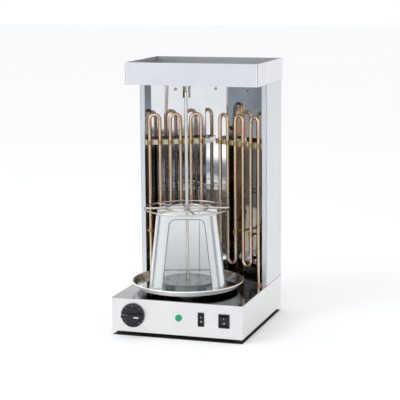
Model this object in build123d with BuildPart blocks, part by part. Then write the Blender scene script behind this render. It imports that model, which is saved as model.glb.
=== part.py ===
from build123d import *
import os
from math import cos, radians, sin, sqrt, tan

# Countertop electric skewer grill. Millimetres, +Z up, +Y towards the back.
# The origin is the middle of the footprint, on the surface that the feet stand on.

os.makedirs("parts", exist_ok=True)

# ---------------------------------------------------------------- driving dimensions
# Sheet metal
sheet = 1.0
deck_sheet = 1.2
reflector_sheet = 0.8
bend_radius = 2.0
fit_gap = 0.1
press_gap = 0.05
flat_gap = 0.3

# Base
base_width = 300.0
base_depth = 320.0
foot_height = 9.0
foot_diameter = 15.0
foot_inset = 14.0
base_height = 75.2
base_lip = 12.0
cover_inset = 1.0

# Tower and tray
panel_depth = 125.0
panel_flange = 11.0
tower_height = 457.7
tray_overhang = 3.5
tray_depth = 209.0
tray_height = 49.7
tray_hem = 8.0

# Heater banks: two serpentine tubes of six legs
tube_diameter = 8.0
leg_count = 6
bank_angle = 26.9
first_leg_x = 22.9
first_leg_before_reflector = 40.8
last_leg_to_wall = 8.73
loop_top_z = 470.0
loop_bottom_z = 120.0
cold_end_z = 66.0
support_bar_z = 402.0
support_bar_height = 11.0
support_bar_thickness = 1.2
standoff_z = 198.0

# Reflector: a centre strip and two wings parallel to the heater banks
reflector_half = 25.6
reflector_depth = 295.0
reflector_lip = 9.0

# Turning parts
hub_bore_gap = 0.02
spit_x = -14.0
spit_depth = 121.0
pan_radius = 126.0
pan_floor_radius = 114.0
pan_depth = 13.4
pan_sheet = 1.0
pan_gap = 9.4
plate_radius = 64.0
plate_top_above_floor = 11.4
plate_sheet = 1.2
shaft_diameter = 8.0
hub_disc_diameter = 70.0
hub_disc_height = 3.0
hub_boss_diameter = 22.0
socket_depth = 9.0
socket_square = 5.6
bearing_flange_height = 1.8
bearing_flange_diameter = 22.0
bearing_diameter = 14.0

# Stand: a tapered four-legged shell of bent sheet
stand_turn = 18.0
stand_bottom_half = 85.0
stand_top_half = 67.0
stand_height = 167.4
stand_corner = 26.0
stand_leg_width = 30.0
stand_band = 7.0
stand_window_corner = 16.0
stand_foot_round = 9.0
stand_rear_arch = 7.0
cross_wire_height = 50.0
cross_wire_diameter = 3.0

# Spit and skewer ring
rod_diameter = 7.5
rod_lower_diameter = 6.5
rod_top_z = 530.0
ring_z = 269.0
ring_radius = 94.5
ring_inner_radius = 47.0
ring_wire = 3.5
ring_main_wire = 5.0
ring_hub_diameter = 15.0
ring_hub_height = 12.0

# Top fork that steadies the spit
fork_drop = 27.0
fork_gap = 1.0
fork_wall = 3.0
fork_reach = 14.0

# Geared motor
gearbox_width = 62.0
gearbox_length = 78.0
gearbox_height = 24.0
motor_diameter = 50.0
motor_height = 26.0
motor_offset = 12.0
bracket_drop = 12.0
bracket_sheet = 1.5

# Controls on the front panel
knob_x = -100.5
knob_z = 47.0
knob_diameter = 53.0
knob_skirt = 5.0
knob_body_diameter = 38.0
knob_reach = 22.0
knob_panel_gap = 1.0
regulator_shaft_diameter = 6.0
regulator_size = 46.0
regulator_length = 30.0
lamp_x = 5.0
lamp_z = 48.0
lamp_diameter = 15.0
lamp_barrel_diameter = 12.0
lamp_barrel_length = 24.0
switch_height = 31.0
switch_bezel = 2.2
switch_body_length = 22.0
switch_rim = 3.5
small_switch_x = 56.3
small_switch_width = 14.5
large_switch_x = 108.2
large_switch_width = 25.0
switch_z = 48.0
rocker_tilt = 10.0
rocker_gap = 0.35

# Rear inlet
gland_x = 96.0
gland_z = 42.0
gland_bore_diameter = 8.0
gland_thread_diameter = 15.2
gland_hex = 19.0
gland_reach = 22.0
gland_inside = 9.0
gland_nut_height = 4.0

# Fasteners
screw_diameter = 3.9
screw_head_diameter = 7.4
screw_head_height = 2.2

# Wiring inside the base
lead_diameter = 2.6
lead_bend = 6.0

# ---------------------------------------------------------------- derived places
front_y = (knob_reach - base_depth - gland_reach) / 2
base_top = foot_height + base_height
tray_z = base_top + tower_height
deck_under = base_top - deck_sheet
shell_bottom = foot_height + sheet
half_width = base_width / 2


def depth(distance):
    """Y of a point that lies this far behind the front face of the base."""
    return front_y + distance


back_y = depth(base_depth)
shell_depth = base_depth - sheet
panel_front = depth(base_depth - sheet - panel_depth)
panel_back = back_y - sheet
spit_y = depth(spit_depth)
pan_under = base_top + pan_gap
pan_floor = pan_under + pan_sheet
rim_top = pan_under + pan_depth
plate_top = pan_floor + plate_top_above_floor
plate_under = plate_top - plate_sheet
hub_bottom = base_top + bearing_flange_height + flat_gap
socket_floor = plate_under - socket_depth


def facing_front(y):
    """Plane at this Y whose extrusions come towards the user."""
    return Plane.XZ.offset(-y)


def box_between(low, high, mode=Mode.ADD):
    """Box from its lowest to its highest corner, inside the current part."""
    middle = [(a + b) / 2 for a, b in zip(low, high)]
    size = [b - a for a, b in zip(low, high)]
    with Locations(tuple(middle)):
        Box(*size, mode=mode)


def rod_between(start, end, radius, mode=Mode.ADD):
    """Round bar from one point to another, inside the current part."""
    way = Vector(*end) - Vector(*start)
    with Locations(Plane(origin=start, z_dir=way)):
        Cylinder(radius, way.length, align=(Align.CENTER, Align.CENTER, Align.MIN), mode=mode)


def save(part, name):
    part.label = name
    export_step(part, f"parts/{name}.step")


# ---------------------------------------------------------------- fasteners
up = (0, 0, 0)
down = (180, 0, 0)
to_front = (90, 0, 0)
to_back = (-90, 0, 0)


def screw_places(points, turn):
    return [Location(point, turn) for point in points]


def drill(places, diameter=screw_diameter, length=8 * sheet):
    """Clearance holes for a group of screws, in the current part."""
    with Locations(*places):
        Cylinder(diameter / 2 + fit_gap, length, mode=Mode.SUBTRACT)


def make_screws(places, name, grip):
    """Pan-head screws as separate solids; each head seats on its place."""
    with BuildPart() as screws:
        with Locations(*places):
            Cylinder(screw_diameter / 2, grip, align=(Align.CENTER, Align.CENTER, Align.MAX))
            Cylinder(screw_head_diameter / 2, screw_head_height,
                     align=(Align.CENTER, Align.CENTER, Align.MIN))
        fillet(screws.edges().filter_by(GeomType.CIRCLE).filter_by(
            lambda e: abs(e.radius - screw_head_diameter / 2) < 0.01).filter_by(
            lambda e: far_from_seats(e, places)), screw_head_height * 0.6)
    save(screws.part, name)


def far_from_seats(edge, places):
    """True for the outer rim of a screw head, false for the rim on the sheet."""
    centre = edge.arc_center
    return all((centre - place.position).length > screw_head_height / 2 for place in places)


flange_middle_x = half_width - panel_flange / 2 - sheet / 2
cover_screw_x = half_width - panel_flange * 0.6
bottom_screws = screw_places(
    [(x, y, foot_height) for x in (-half_width + base_lip * 0.6, half_width - base_lip * 0.6)
     for y in (depth(base_depth * 0.3), depth(base_depth * 0.7))], down)
rear_panel_screws = screw_places(
    [(x, back_y, z) for x in (-cover_screw_x, cover_screw_x)
     for z in (shell_bottom + base_lip * 1.5, deck_under - base_lip * 1.5)], to_back)
rear_cover_screws = screw_places(
    [(x, back_y, base_top + tower_height * share) for x in (-cover_screw_x, cover_screw_x)
     for share in (0.06, 0.5, 0.94)], to_back)
tray_studs = screw_places(
    [(x, y, tray_z) for x in (-flange_middle_x, flange_middle_x)
     for y in (panel_front + panel_flange * 1.5, panel_back - panel_flange * 1.5)], down)
foot_places = [(x, y) for x in (-half_width + foot_inset, half_width - foot_inset)
               for y in (depth(foot_inset), depth(base_depth - foot_inset))]

# ---------------------------------------------------------------- base
switches = {"small": (small_switch_x, small_switch_width),
            "large": (large_switch_x, large_switch_width)}
switch_body_height = switch_height - switch_rim
regulator_screw_spread = 28.0
shaft_clearance = 2.0
wing_x = half_width - panel_flange - reflector_sheet
first_leg_depth = reflector_depth - first_leg_before_reflector
leg_pitch = ((wing_x - last_leg_to_wall - first_leg_x)
             / ((leg_count - 1) * cos(radians(bank_angle))))
leg_xs = (first_leg_x, first_leg_x + (leg_count - 1) * leg_pitch * cos(radians(bank_angle)))
leg_depths = (first_leg_depth,
              first_leg_depth - (leg_count - 1) * leg_pitch * sin(radians(bank_angle)))
deck_legs = [(side * x, depth(d)) for side in (-1, 1) for x, d in zip(leg_xs, leg_depths)]
fitting_wall = 2.0
fitting_diameter = tube_diameter + 2 * fitting_wall
bracket_ear = 12.0
bracket_screw_edge = 5.0
bracket_half = gearbox_length / 2 + bracket_ear
bracket_screws = screw_places(
    [(spit_x + side * (bracket_half - bracket_screw_edge), spit_y + side_y * gearbox_width / 4, base_top)
     for side in (-1, 1) for side_y in (-1, 1)], up)

with BuildPart() as base_shell:
    shell_low = (-half_width, front_y, shell_bottom)
    shell_high = (half_width, front_y + shell_depth, deck_under)
    box_between(shell_low, shell_high)
    fillet(base_shell.edges().filter_by(Axis.Z).group_by(Axis.Y)[0], bend_radius)
    inset = (sheet, sheet, sheet)
    box_between([a + b for a, b in zip(shell_low, inset)],
                [a - b for a, b in zip(shell_high, inset)], Mode.SUBTRACT)
    box_between((-half_width + base_lip, front_y + base_lip, foot_height),
                (half_width - base_lip, back_y - base_lip, base_top), Mode.SUBTRACT)
    box_between((-half_width + base_lip, depth(base_depth / 2), shell_bottom + base_lip),
                (half_width - base_lip, back_y, deck_under - base_lip), Mode.SUBTRACT)
    with BuildSketch(facing_front(front_y + 2 * sheet)):
        with Locations((knob_x, knob_z)):
            Circle(regulator_shaft_diameter / 2 + shaft_clearance)
        with Locations((lamp_x, lamp_z)):
            Circle(lamp_barrel_diameter / 2 + fit_gap)
        for x, width in switches.values():
            with Locations((x, switch_z)):
                Rectangle(width - switch_rim + 2 * fit_gap, switch_body_height + 2 * fit_gap)
        with Locations((knob_x, knob_z)):
            with GridLocations(regulator_screw_spread, 0, 2, 1):
                Circle(screw_diameter / 2 + fit_gap)
    extrude(amount=3 * sheet, mode=Mode.SUBTRACT)
    drill(bottom_screws + rear_panel_screws)
save(base_shell.part, "base_shell")

with BuildPart() as base_deck:
    box_between((-half_width, front_y, deck_under), (half_width, back_y, base_top))
    fillet(base_deck.edges().filter_by(Axis.Z).group_by(Axis.Y)[0], bend_radius)
    fillet(base_deck.edges().group_by(Axis.Z)[-1], deck_sheet * 0.4)
    with Locations((spit_x, spit_y, base_top)):
        Cylinder(bearing_diameter / 2 + fit_gap, 4 * deck_sheet, mode=Mode.SUBTRACT)
    with Locations(*[(x, y, base_top) for x, y in deck_legs]):
        Cylinder(fitting_diameter / 2 + fit_gap, 4 * deck_sheet, mode=Mode.SUBTRACT)
    drill(bracket_screws)
save(base_deck.part, "base_deck")

vent_length = 40.0
vent_width = 3.0
vent_pitch = 9.0
vent_rows = 5
with BuildPart() as base_bottom_cover:
    box_between((-half_width + cover_inset, front_y + cover_inset, foot_height),
                (half_width - cover_inset, back_y - cover_inset, foot_height + sheet))
    with BuildSketch(Plane.XY.offset(foot_height)):
        for x in (-base_width / 4, base_width / 4):
            with Locations((x, depth(base_depth * 0.3))):
                with GridLocations(0, vent_pitch, 1, vent_rows):
                    SlotOverall(vent_length, vent_width)
        with Locations(*foot_places):
            Circle(screw_diameter / 2 + fit_gap)
    extrude(amount=sheet, mode=Mode.SUBTRACT)
    drill(bottom_screws)
save(base_bottom_cover.part, "base_bottom_cover")

rear_vent_x = -base_width * 0.2
with BuildPart() as base_rear_panel:
    box_between((-half_width, back_y - sheet, shell_bottom), (half_width, back_y, deck_under))
    with BuildSketch(facing_front(back_y)):
        with Locations((gland_x, gland_z)):
            Circle(gland_thread_diameter / 2 + fit_gap)
        with Locations((rear_vent_x, gland_z)):
            with GridLocations(vent_length * 1.3, vent_pitch, 3, vent_rows - 1):
                SlotOverall(vent_length, vent_width)
    extrude(amount=sheet, mode=Mode.SUBTRACT)
    drill(rear_panel_screws)
save(base_rear_panel.part, "base_rear_panel")

foot_screw_head = 3.0
with BuildPart() as rubber_feet:
    with Locations(*[(x, y, 0) for x, y in foot_places]):
        Cone(foot_diameter / 2 - 1.0, foot_diameter / 2, foot_height,
             align=(Align.CENTER, Align.CENTER, Align.MIN))
        Cylinder(screw_head_diameter / 2 + fit_gap, foot_screw_head,
                 align=(Align.CENTER, Align.CENTER, Align.MIN), mode=Mode.SUBTRACT)
        Cylinder(screw_diameter / 2 + fit_gap, foot_height,
                 align=(Align.CENTER, Align.CENTER, Align.MIN), mode=Mode.SUBTRACT)
save(rubber_feet.part, "rubber_feet")

foot_seats = screw_places([(x, y, foot_screw_head) for x, y in foot_places], down)
make_screws(foot_seats, "foot_screws", foot_height + sheet)
make_screws(bottom_screws, "bottom_cover_screws", 3 * sheet)
make_screws(rear_panel_screws + rear_cover_screws, "rear_screws", 3 * sheet)

# ---------------------------------------------------------------- tower
with BuildPart() as right_side_panel:
    panel_low = (half_width - panel_flange, panel_front, base_top)
    panel_high = (half_width, panel_back, tray_z)
    box_between(panel_low, panel_high)
    fillet(right_side_panel.edges().filter_by(Axis.Z).group_by(Axis.Y)[0].sort_by(Axis.X)[-1],
           bend_radius)
    box_between((half_width - panel_flange, panel_front + sheet, base_top + sheet),
                (half_width - sheet, panel_back - sheet, tray_z - sheet), Mode.SUBTRACT)
    drill(rear_cover_screws + tray_studs)
save(right_side_panel.part, "right_side_panel")

with BuildPart() as left_side_panel:
    mirror(right_side_panel.part, about=Plane.YZ)
save(left_side_panel.part, "left_side_panel")

with BuildPart() as rear_cover:
    box_between((-half_width, panel_back, base_top), (half_width, back_y, tray_z))
    with BuildSketch(facing_front(back_y)):
        for share in (0.12, 0.88):
            with Locations((0, base_top + tower_height * share)):
                with GridLocations(vent_length * 1.3, vent_pitch, 4, vent_rows):
                    SlotOverall(vent_length, vent_width)
    extrude(amount=sheet, mode=Mode.SUBTRACT)
    drill(rear_cover_screws)
save(rear_cover.part, "rear_cover")

tray_half = half_width + tray_overhang
tray_front = back_y - tray_depth
tray_top = tray_z + tray_height
with BuildPart() as top_tray:
    box_between((-tray_half, tray_front, tray_z), (tray_half, back_y, tray_top))
    fillet(top_tray.edges().filter_by(Axis.Z), bend_radius)
    box_between((-tray_half + sheet, tray_front + sheet, tray_z + sheet),
                (tray_half - sheet, back_y - sheet, tray_top - tray_hem), Mode.SUBTRACT)
    box_between((-tray_half + 2 * sheet, tray_front + 2 * sheet, tray_z + sheet),
                (tray_half - 2 * sheet, back_y - 2 * sheet, tray_top), Mode.SUBTRACT)
save(top_tray.part, "top_tray")

# Studs under the tray pass the side panels' top flanges; each carries its nut.
stud_nut_width = 7.0
stud_nut_height = 3.2
stud_spare = 2.0
with BuildPart() as tray_fixings:
    with Locations(*tray_studs):
        Cylinder(screw_diameter / 2, sheet + stud_nut_height + stud_spare,
                 align=(Align.CENTER, Align.CENTER, Align.MIN))
    with BuildSketch(Plane.XY.offset(tray_z - sheet)):
        with Locations(*[(place.position.X, place.position.Y) for place in tray_studs]):
            RegularPolygon(stud_nut_width / 2, 6, major_radius=False)
    extrude(amount=-stud_nut_height)
save(tray_fixings.part, "tray_studs")

# ---------------------------------------------------------------- reflector
bar_foot_x = 8.0
bar_foot_length = 12.0
bar_foot_screw_x = bar_foot_x + support_bar_thickness + screw_head_diameter / 2 + 0.5
bar_foot_screws = screw_places(
    [(side * bar_foot_screw_x, depth(reflector_depth) - support_bar_thickness, support_bar_z)
     for side in (-1, 1)], to_front)
wing_depth = reflector_depth - (wing_x - reflector_half) * tan(radians(bank_angle))
reflector_low = base_top
reflector_screw_low = 30.0
reflector_screw_drop = 22.0
reflector_screw_z = (base_top + reflector_screw_low, tray_z - reflector_screw_drop)


def bent_strip(points, thickness, low, high):
    """Upright strip of sheet that follows the points, with its thickness to their left."""
    with BuildPart() as strip:
        with BuildSketch(Plane.XY.offset(low)):
            with BuildLine():
                Polyline(*points)
                offset(amount=thickness, side=Side.LEFT, kind=Kind.INTERSECTION)
            make_face()
        extrude(amount=high - low)
    return strip.part


with BuildPart() as reflector_centre:
    box_between((-reflector_half, depth(reflector_depth), reflector_low),
                (reflector_half, depth(reflector_depth) + reflector_sheet, tray_z))
    centre_screws = screw_places(
        [(0, depth(reflector_depth), z) for z in reflector_screw_z], to_front)
    drill(centre_screws + bar_foot_screws)
save(reflector_centre.part, "reflector_centre")

# The wing: a lip behind the centre strip, the slanted face, a side wall, a front tab.
lip_depth = reflector_depth + reflector_sheet
wing_path = [(reflector_half - reflector_lip, depth(lip_depth)),
             (reflector_half, depth(lip_depth)),
             (wing_x, depth(wing_depth)),
             (wing_x, panel_front + sheet),
             (wing_x + reflector_lip, panel_front + sheet)]
bank_along = (cos(radians(bank_angle)), -sin(radians(bank_angle)))
bank_back = (sin(radians(bank_angle)), cos(radians(bank_angle)))


def bank_point(along, back, side=1):
    """Plan position measured along a heater bank from its first leg, and behind it."""
    x = first_leg_x + along * bank_along[0] + back * bank_back[0]
    y = depth(first_leg_depth) + along * bank_along[1] + back * bank_back[1]
    return (side * x, y)


bar_front = tube_diameter / 2 + fit_gap
bar_through = 3.5
slot_half = 3.0
slot_edge = 1.0
bar_middle = bar_front + support_bar_thickness / 2
bar_outer_along = (wing_x + bar_through - bank_point(0, bar_middle)[0]) / bank_along[0]
slot_along = (wing_x - bank_point(0, bar_middle)[0]) / bank_along[0]
slot_y = bank_point(slot_along, bar_middle)[1]
standoff_back = ((reflector_half - first_leg_x) * sin(radians(bank_angle))
                 + (reflector_depth - first_leg_depth) * cos(radians(bank_angle)))

wing_share = 0.55
wing_screw_x = reflector_half + (wing_x - reflector_half) * wing_share
wing_screw_y = depth(reflector_depth + (wing_depth - reflector_depth) * wing_share)
wing_screws = {side: [Location((side * wing_screw_x, wing_screw_y, z), (90, -side * bank_angle, 0))
                      for z in reflector_screw_z] for side in (-1, 1)}

with BuildPart() as reflector_right:
    add(bent_strip(wing_path, reflector_sheet, reflector_low, tray_z))
    for low in (base_top, tray_z - sheet):
        box_between((wing_x + reflector_sheet, panel_front, low),
                    (half_width, panel_back, low + sheet), Mode.SUBTRACT)
    drill(wing_screws[1])
    slot_high = support_bar_height / 2 + slot_edge
    box_between((wing_x - slot_edge, slot_y - slot_half, support_bar_z - slot_high),
                (wing_x + reflector_sheet + slot_edge, slot_y + slot_half,
                 support_bar_z + slot_high), Mode.SUBTRACT)
save(reflector_right.part, "reflector_right")

with BuildPart() as reflector_left:
    mirror(reflector_right.part, about=Plane.YZ)
save(reflector_left.part, "reflector_left")

# ---------------------------------------------------------------- heaters
leg_radius = tube_diameter / 2
bend = leg_pitch / 2
upper_bend_z = loop_top_z - bend - leg_radius
lower_bend_z = loop_bottom_z + bend + leg_radius


def bank_plane():
    """Upright plane of the right-hand bank: local X along the bank, local Y up."""
    return Plane(origin=(*bank_point(0, 0), 0), x_dir=(*bank_along, 0),
                 z_dir=(-bank_back[0], -bank_back[1], 0))


with BuildPart() as heater_right:
    with BuildLine(bank_plane()) as heater_path:
        Line((0, cold_end_z), (0, upper_bend_z))
        for leg in range(leg_count - 1):
            near, far = leg * leg_pitch, (leg + 1) * leg_pitch
            if leg % 2 == 0:
                ThreePointArc((near, upper_bend_z), (near + bend, upper_bend_z + bend),
                              (far, upper_bend_z))
                last = leg == leg_count - 2
                Line((far, upper_bend_z), (far, cold_end_z if last else lower_bend_z))
            else:
                ThreePointArc((near, lower_bend_z), (near + bend, lower_bend_z - bend),
                              (far, lower_bend_z))
                Line((far, lower_bend_z), (far, upper_bend_z))
    with BuildSketch(Plane.XY.offset(cold_end_z)):
        with Locations(bank_point(0, 0)):
            Circle(leg_radius)
    sweep(path=heater_path.line)
save(heater_right.part, "heater_right")

with BuildPart() as heater_left:
    mirror(heater_right.part, about=Plane.YZ)
save(heater_left.part, "heater_left")

# Threaded brass sleeves clamp the cold ends in the deck, with a nut under it.
fitting_hex = fitting_diameter + 3.0
fitting_head = 5.0
fitting_tail = 10.0
fitting_nut = 4.0
hex_turn = 30
with BuildPart() as heater_fittings:
    with BuildSketch(Plane.XY.offset(base_top)):
        with Locations(*deck_legs):
            RegularPolygon(fitting_hex / 2, 6, major_radius=False, rotation=hex_turn)
    extrude(amount=fitting_head)
    with Locations(*[(x, y, base_top) for x, y in deck_legs]):
        Cylinder(fitting_diameter / 2, fitting_tail, align=(Align.CENTER, Align.CENTER, Align.MAX))
        Cylinder(leg_radius + fit_gap, 4 * fitting_tail, mode=Mode.SUBTRACT)
save(heater_fittings.part, "heater_fittings")

with BuildPart() as heater_nuts:
    with BuildSketch(Plane.XY.offset(deck_under)):
        with Locations(*deck_legs):
            RegularPolygon(fitting_hex / 2, 6, major_radius=False, rotation=hex_turn)
            Circle(fitting_diameter / 2 + fit_gap, mode=Mode.SUBTRACT)
    extrude(amount=-fitting_nut)
save(heater_nuts.part, "heater_nuts")

# Ceramic insulators and their connection studs close the cold ends under the deck.
insulator_height = 6.0
stud_diameter = 3.2
stud_length = 8.0
stud_end_z = cold_end_z - insulator_height - stud_length
with BuildPart() as heater_insulators:
    with Locations(*[(x, y, cold_end_z) for x, y in deck_legs]):
        Cylinder(leg_radius - 0.5, insulator_height, align=(Align.CENTER, Align.CENTER, Align.MAX))
save(heater_insulators.part, "heater_insulators")

with BuildPart() as heater_studs:
    with Locations(*[(x, y, cold_end_z - insulator_height) for x, y in deck_legs]):
        Cylinder(stud_diameter / 2, stud_length, align=(Align.CENTER, Align.CENTER, Align.MAX))
save(heater_studs.part, "heater_studs")

# Support bars run behind the legs; each is footed on the centre strip.
bar_turn_along = (bar_foot_x - bank_point(0, bar_front)[0]) / bank_along[0]
bar_path = [bank_point(bar_outer_along, bar_front),
            bank_point(bar_turn_along, bar_front),
            (bar_foot_x, depth(reflector_depth)),
            (bar_foot_x + bar_foot_length, depth(reflector_depth))]

with BuildPart() as heater_bar_right:
    with BuildSketch(Plane.XY.offset(support_bar_z - support_bar_height / 2)):
        with BuildLine():
            Polyline(*bar_path)
            offset(amount=support_bar_thickness, side=Side.RIGHT, kind=Kind.INTERSECTION)
        make_face()
    extrude(amount=support_bar_height)
    drill(bar_foot_screws)
save(heater_bar_right.part, "heater_bar_right")

with BuildPart() as heater_bar_left:
    mirror(heater_bar_right.part, about=Plane.YZ)
save(heater_bar_left.part, "heater_bar_left")

# Brass saddles hold each pair of legs against its bar.
saddle_sheet = 0.8
saddle_height = 9.0
saddle_ear = 6.0
leg_clear = leg_radius + fit_gap


def saddle_plane(side):
    """Level plane on the first leg of a bank: local X along the bank, local Y behind it."""
    return Plane(origin=(*bank_point(0, 0, side), support_bar_z - saddle_height / 2),
                 x_dir=(side * bank_along[0], bank_along[1], 0), z_dir=(0, 0, 1))


with BuildPart() as heater_saddles:
    for side in (-1, 1):
        back = side
        with BuildSketch(saddle_plane(side)):
            for pair in range(leg_count // 2):
                ends = [(2 * pair + k) * leg_pitch for k in (0, 1)]
                with Locations(((ends[0] + ends[1]) / 2, back * (leg_clear - saddle_sheet / 2))):
                    Rectangle(leg_pitch + 2 * (leg_clear + saddle_ear), saddle_sheet)
                with Locations(*[(end, 0) for end in ends]):
                    Circle(leg_clear + saddle_sheet)
                with Locations(*[(end, back * leg_clear / 2) for end in ends]):
                    Rectangle(2 * (leg_clear + saddle_sheet), leg_clear)
                with Locations(*[(end, 0) for end in ends]):
                    Circle(leg_clear, mode=Mode.SUBTRACT)
                with Locations(*[(end, back * leg_clear / 2) for end in ends]):
                    Rectangle(2 * leg_clear, leg_clear, mode=Mode.SUBTRACT)
                with Locations(*[(end, back * (leg_clear + saddle_sheet)) for end in ends]):
                    Rectangle(4 * leg_clear, 2 * saddle_sheet, mode=Mode.SUBTRACT)
        extrude(amount=saddle_height)
save(heater_saddles.part, "heater_saddles")

# Lower stand-offs: a brass ring round one leg, on a stem from the reflector.
standoff_ring = 2.2
standoff_height = 8.0
stem_diameter = 5.0
standoff_legs = [(1, 2), (1, 4), (-1, 2)]
side_stem_leg = leg_count - 1
with BuildPart() as heater_standoffs:
    for side, leg in standoff_legs:
        centre = bank_point(leg * leg_pitch, 0, side)
        foot = bank_point(leg * leg_pitch, standoff_back, side)
        rod_between((*centre, standoff_z), (*foot, standoff_z), stem_diameter / 2)
        with Locations((*centre, standoff_z)):
            Cylinder(leg_clear + standoff_ring, standoff_height)
            Cylinder(leg_clear, 2 * standoff_height, mode=Mode.SUBTRACT)
    centre = bank_point(side_stem_leg * leg_pitch, 0, -1)
    rod_between((*centre, standoff_z), (-wing_x, centre[1], standoff_z), stem_diameter / 2)
    with Locations((*centre, standoff_z)):
        Cylinder(leg_clear + standoff_ring, standoff_height)
        Cylinder(leg_clear, 2 * standoff_height, mode=Mode.SUBTRACT)
save(heater_standoffs.part, "heater_standoffs")

# Screws of the reflector: two in the centre strip, two bar feet, two in each wing.
make_screws(centre_screws + bar_foot_screws + wing_screws[-1] + wing_screws[1],
            "reflector_screws", 3 * sheet)

# ---------------------------------------------------------------- geared motor
bracket_top = deck_under
bracket_plate_top = bracket_top - bracket_drop
gearbox_top = bracket_plate_top - bracket_sheet
gearbox_bottom = gearbox_top - gearbox_height
motor_bottom = gearbox_bottom - motor_height
bracket_leg_x = gearbox_length / 2 + 2.0
bracket_wide = gearbox_width * 0.8
screw_grip_spare = 3.0

with BuildPart() as motor_bracket:
    with BuildSketch(Plane.XZ.offset(-(spit_y + bracket_wide / 2))):
        with BuildLine():
            Polyline((spit_x - bracket_half, bracket_top - bracket_sheet),
                     (spit_x - bracket_leg_x, bracket_top - bracket_sheet),
                     (spit_x - bracket_leg_x, gearbox_top),
                     (spit_x + bracket_leg_x, gearbox_top),
                     (spit_x + bracket_leg_x, bracket_top - bracket_sheet),
                     (spit_x + bracket_half, bracket_top - bracket_sheet))
            offset(amount=bracket_sheet, side=Side.LEFT, kind=Kind.INTERSECTION)
        make_face()
    extrude(amount=bracket_wide)
    with Locations((spit_x, spit_y, gearbox_top)):
        Cylinder(shaft_diameter, 4 * bracket_sheet, mode=Mode.SUBTRACT)
    drill(bracket_screws)
    gearbox_screws = screw_places(
        [(spit_x + side * gearbox_length * 0.38, spit_y, bracket_plate_top)
         for side in (-1, 1)], up)
    drill(gearbox_screws)
save(motor_bracket.part, "motor_bracket")
make_screws(bracket_screws + gearbox_screws, "motor_screws", 2 * bracket_sheet + screw_grip_spare)

screw_hole_depth = 6.0
gearbox_corner = 8.0
with BuildPart() as gearbox:
    with BuildSketch(Plane.XY.offset(gearbox_bottom)):
        with Locations((spit_x, spit_y)):
            RectangleRounded(gearbox_length, gearbox_width, gearbox_corner)
    extrude(amount=gearbox_height)
    fillet(gearbox.edges().group_by(Axis.Z)[0], 1.5)
    with Locations((spit_x, spit_y, gearbox_top)):
        Cylinder(shaft_diameter / 2 + press_gap, gearbox_height * 0.8,
                 align=(Align.CENTER, Align.CENTER, Align.MAX), mode=Mode.SUBTRACT)
    drill(gearbox_screws, length=2 * screw_hole_depth)
save(gearbox.part, "gearbox")

with BuildPart() as motor_can:
    with Locations((spit_x + motor_offset, spit_y, gearbox_bottom)):
        Cylinder(motor_diameter / 2, motor_height, align=(Align.CENTER, Align.CENTER, Align.MAX))
    fillet(motor_can.edges().group_by(Axis.Z)[0], 2.0)
save(motor_can.part, "motor_can")

bearing_bore = shaft_diameter / 2 + press_gap
bearing_tail = 6.0
with BuildPart() as deck_bearing:
    with Locations((spit_x, spit_y, base_top)):
        Cylinder(bearing_flange_diameter / 2, bearing_flange_height,
                 align=(Align.CENTER, Align.CENTER, Align.MIN))
        Cylinder(bearing_diameter / 2, bearing_tail, align=(Align.CENTER, Align.CENTER, Align.MAX))
        Cylinder(bearing_bore, 4 * bearing_tail, mode=Mode.SUBTRACT)
save(deck_bearing.part, "deck_bearing")

# ---------------------------------------------------------------- turntable
shaft_low = gearbox_top - gearbox_height * 0.7
pin_diameter = 2.5
pin_z = socket_floor - pin_diameter / 2 - 0.3
with BuildPart() as drive_shaft:
    with Locations((spit_x, spit_y, shaft_low)):
        Cylinder(shaft_diameter / 2, socket_floor - shaft_low,
                 align=(Align.CENTER, Align.CENTER, Align.MIN))
    rod_between((spit_x - shaft_diameter, spit_y, pin_z), (spit_x + shaft_diameter, spit_y, pin_z),
                pin_diameter / 2, Mode.SUBTRACT)
save(drive_shaft.part, "drive_shaft")

with BuildPart() as turntable_hub:
    with Locations((spit_x, spit_y, hub_bottom)):
        Cylinder(hub_boss_diameter / 2, plate_under - hub_bottom,
                 align=(Align.CENTER, Align.CENTER, Align.MIN))
    with Locations((spit_x, spit_y, pan_under)):
        Cylinder(hub_disc_diameter / 2, hub_disc_height,
                 align=(Align.CENTER, Align.CENTER, Align.MAX))
    with Locations((spit_x, spit_y, socket_floor)):
        Cylinder(shaft_diameter / 2 + hub_bore_gap, socket_floor - hub_bottom,
                 align=(Align.CENTER, Align.CENTER, Align.MAX), mode=Mode.SUBTRACT)
        Box(socket_square, socket_square, socket_depth,
            align=(Align.CENTER, Align.CENTER, Align.MIN), mode=Mode.SUBTRACT)
    rod_between((spit_x - hub_boss_diameter, spit_y, pin_z),
                (spit_x + hub_boss_diameter, spit_y, pin_z), pin_diameter / 2, Mode.SUBTRACT)
save(turntable_hub.part, "turntable_hub")

with BuildPart() as hub_cross_pin:
    rod_between((spit_x - hub_boss_diameter / 2, spit_y, pin_z),
                (spit_x + hub_boss_diameter / 2, spit_y, pin_z), pin_diameter / 2)
save(hub_cross_pin.part, "hub_cross_pin")

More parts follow.
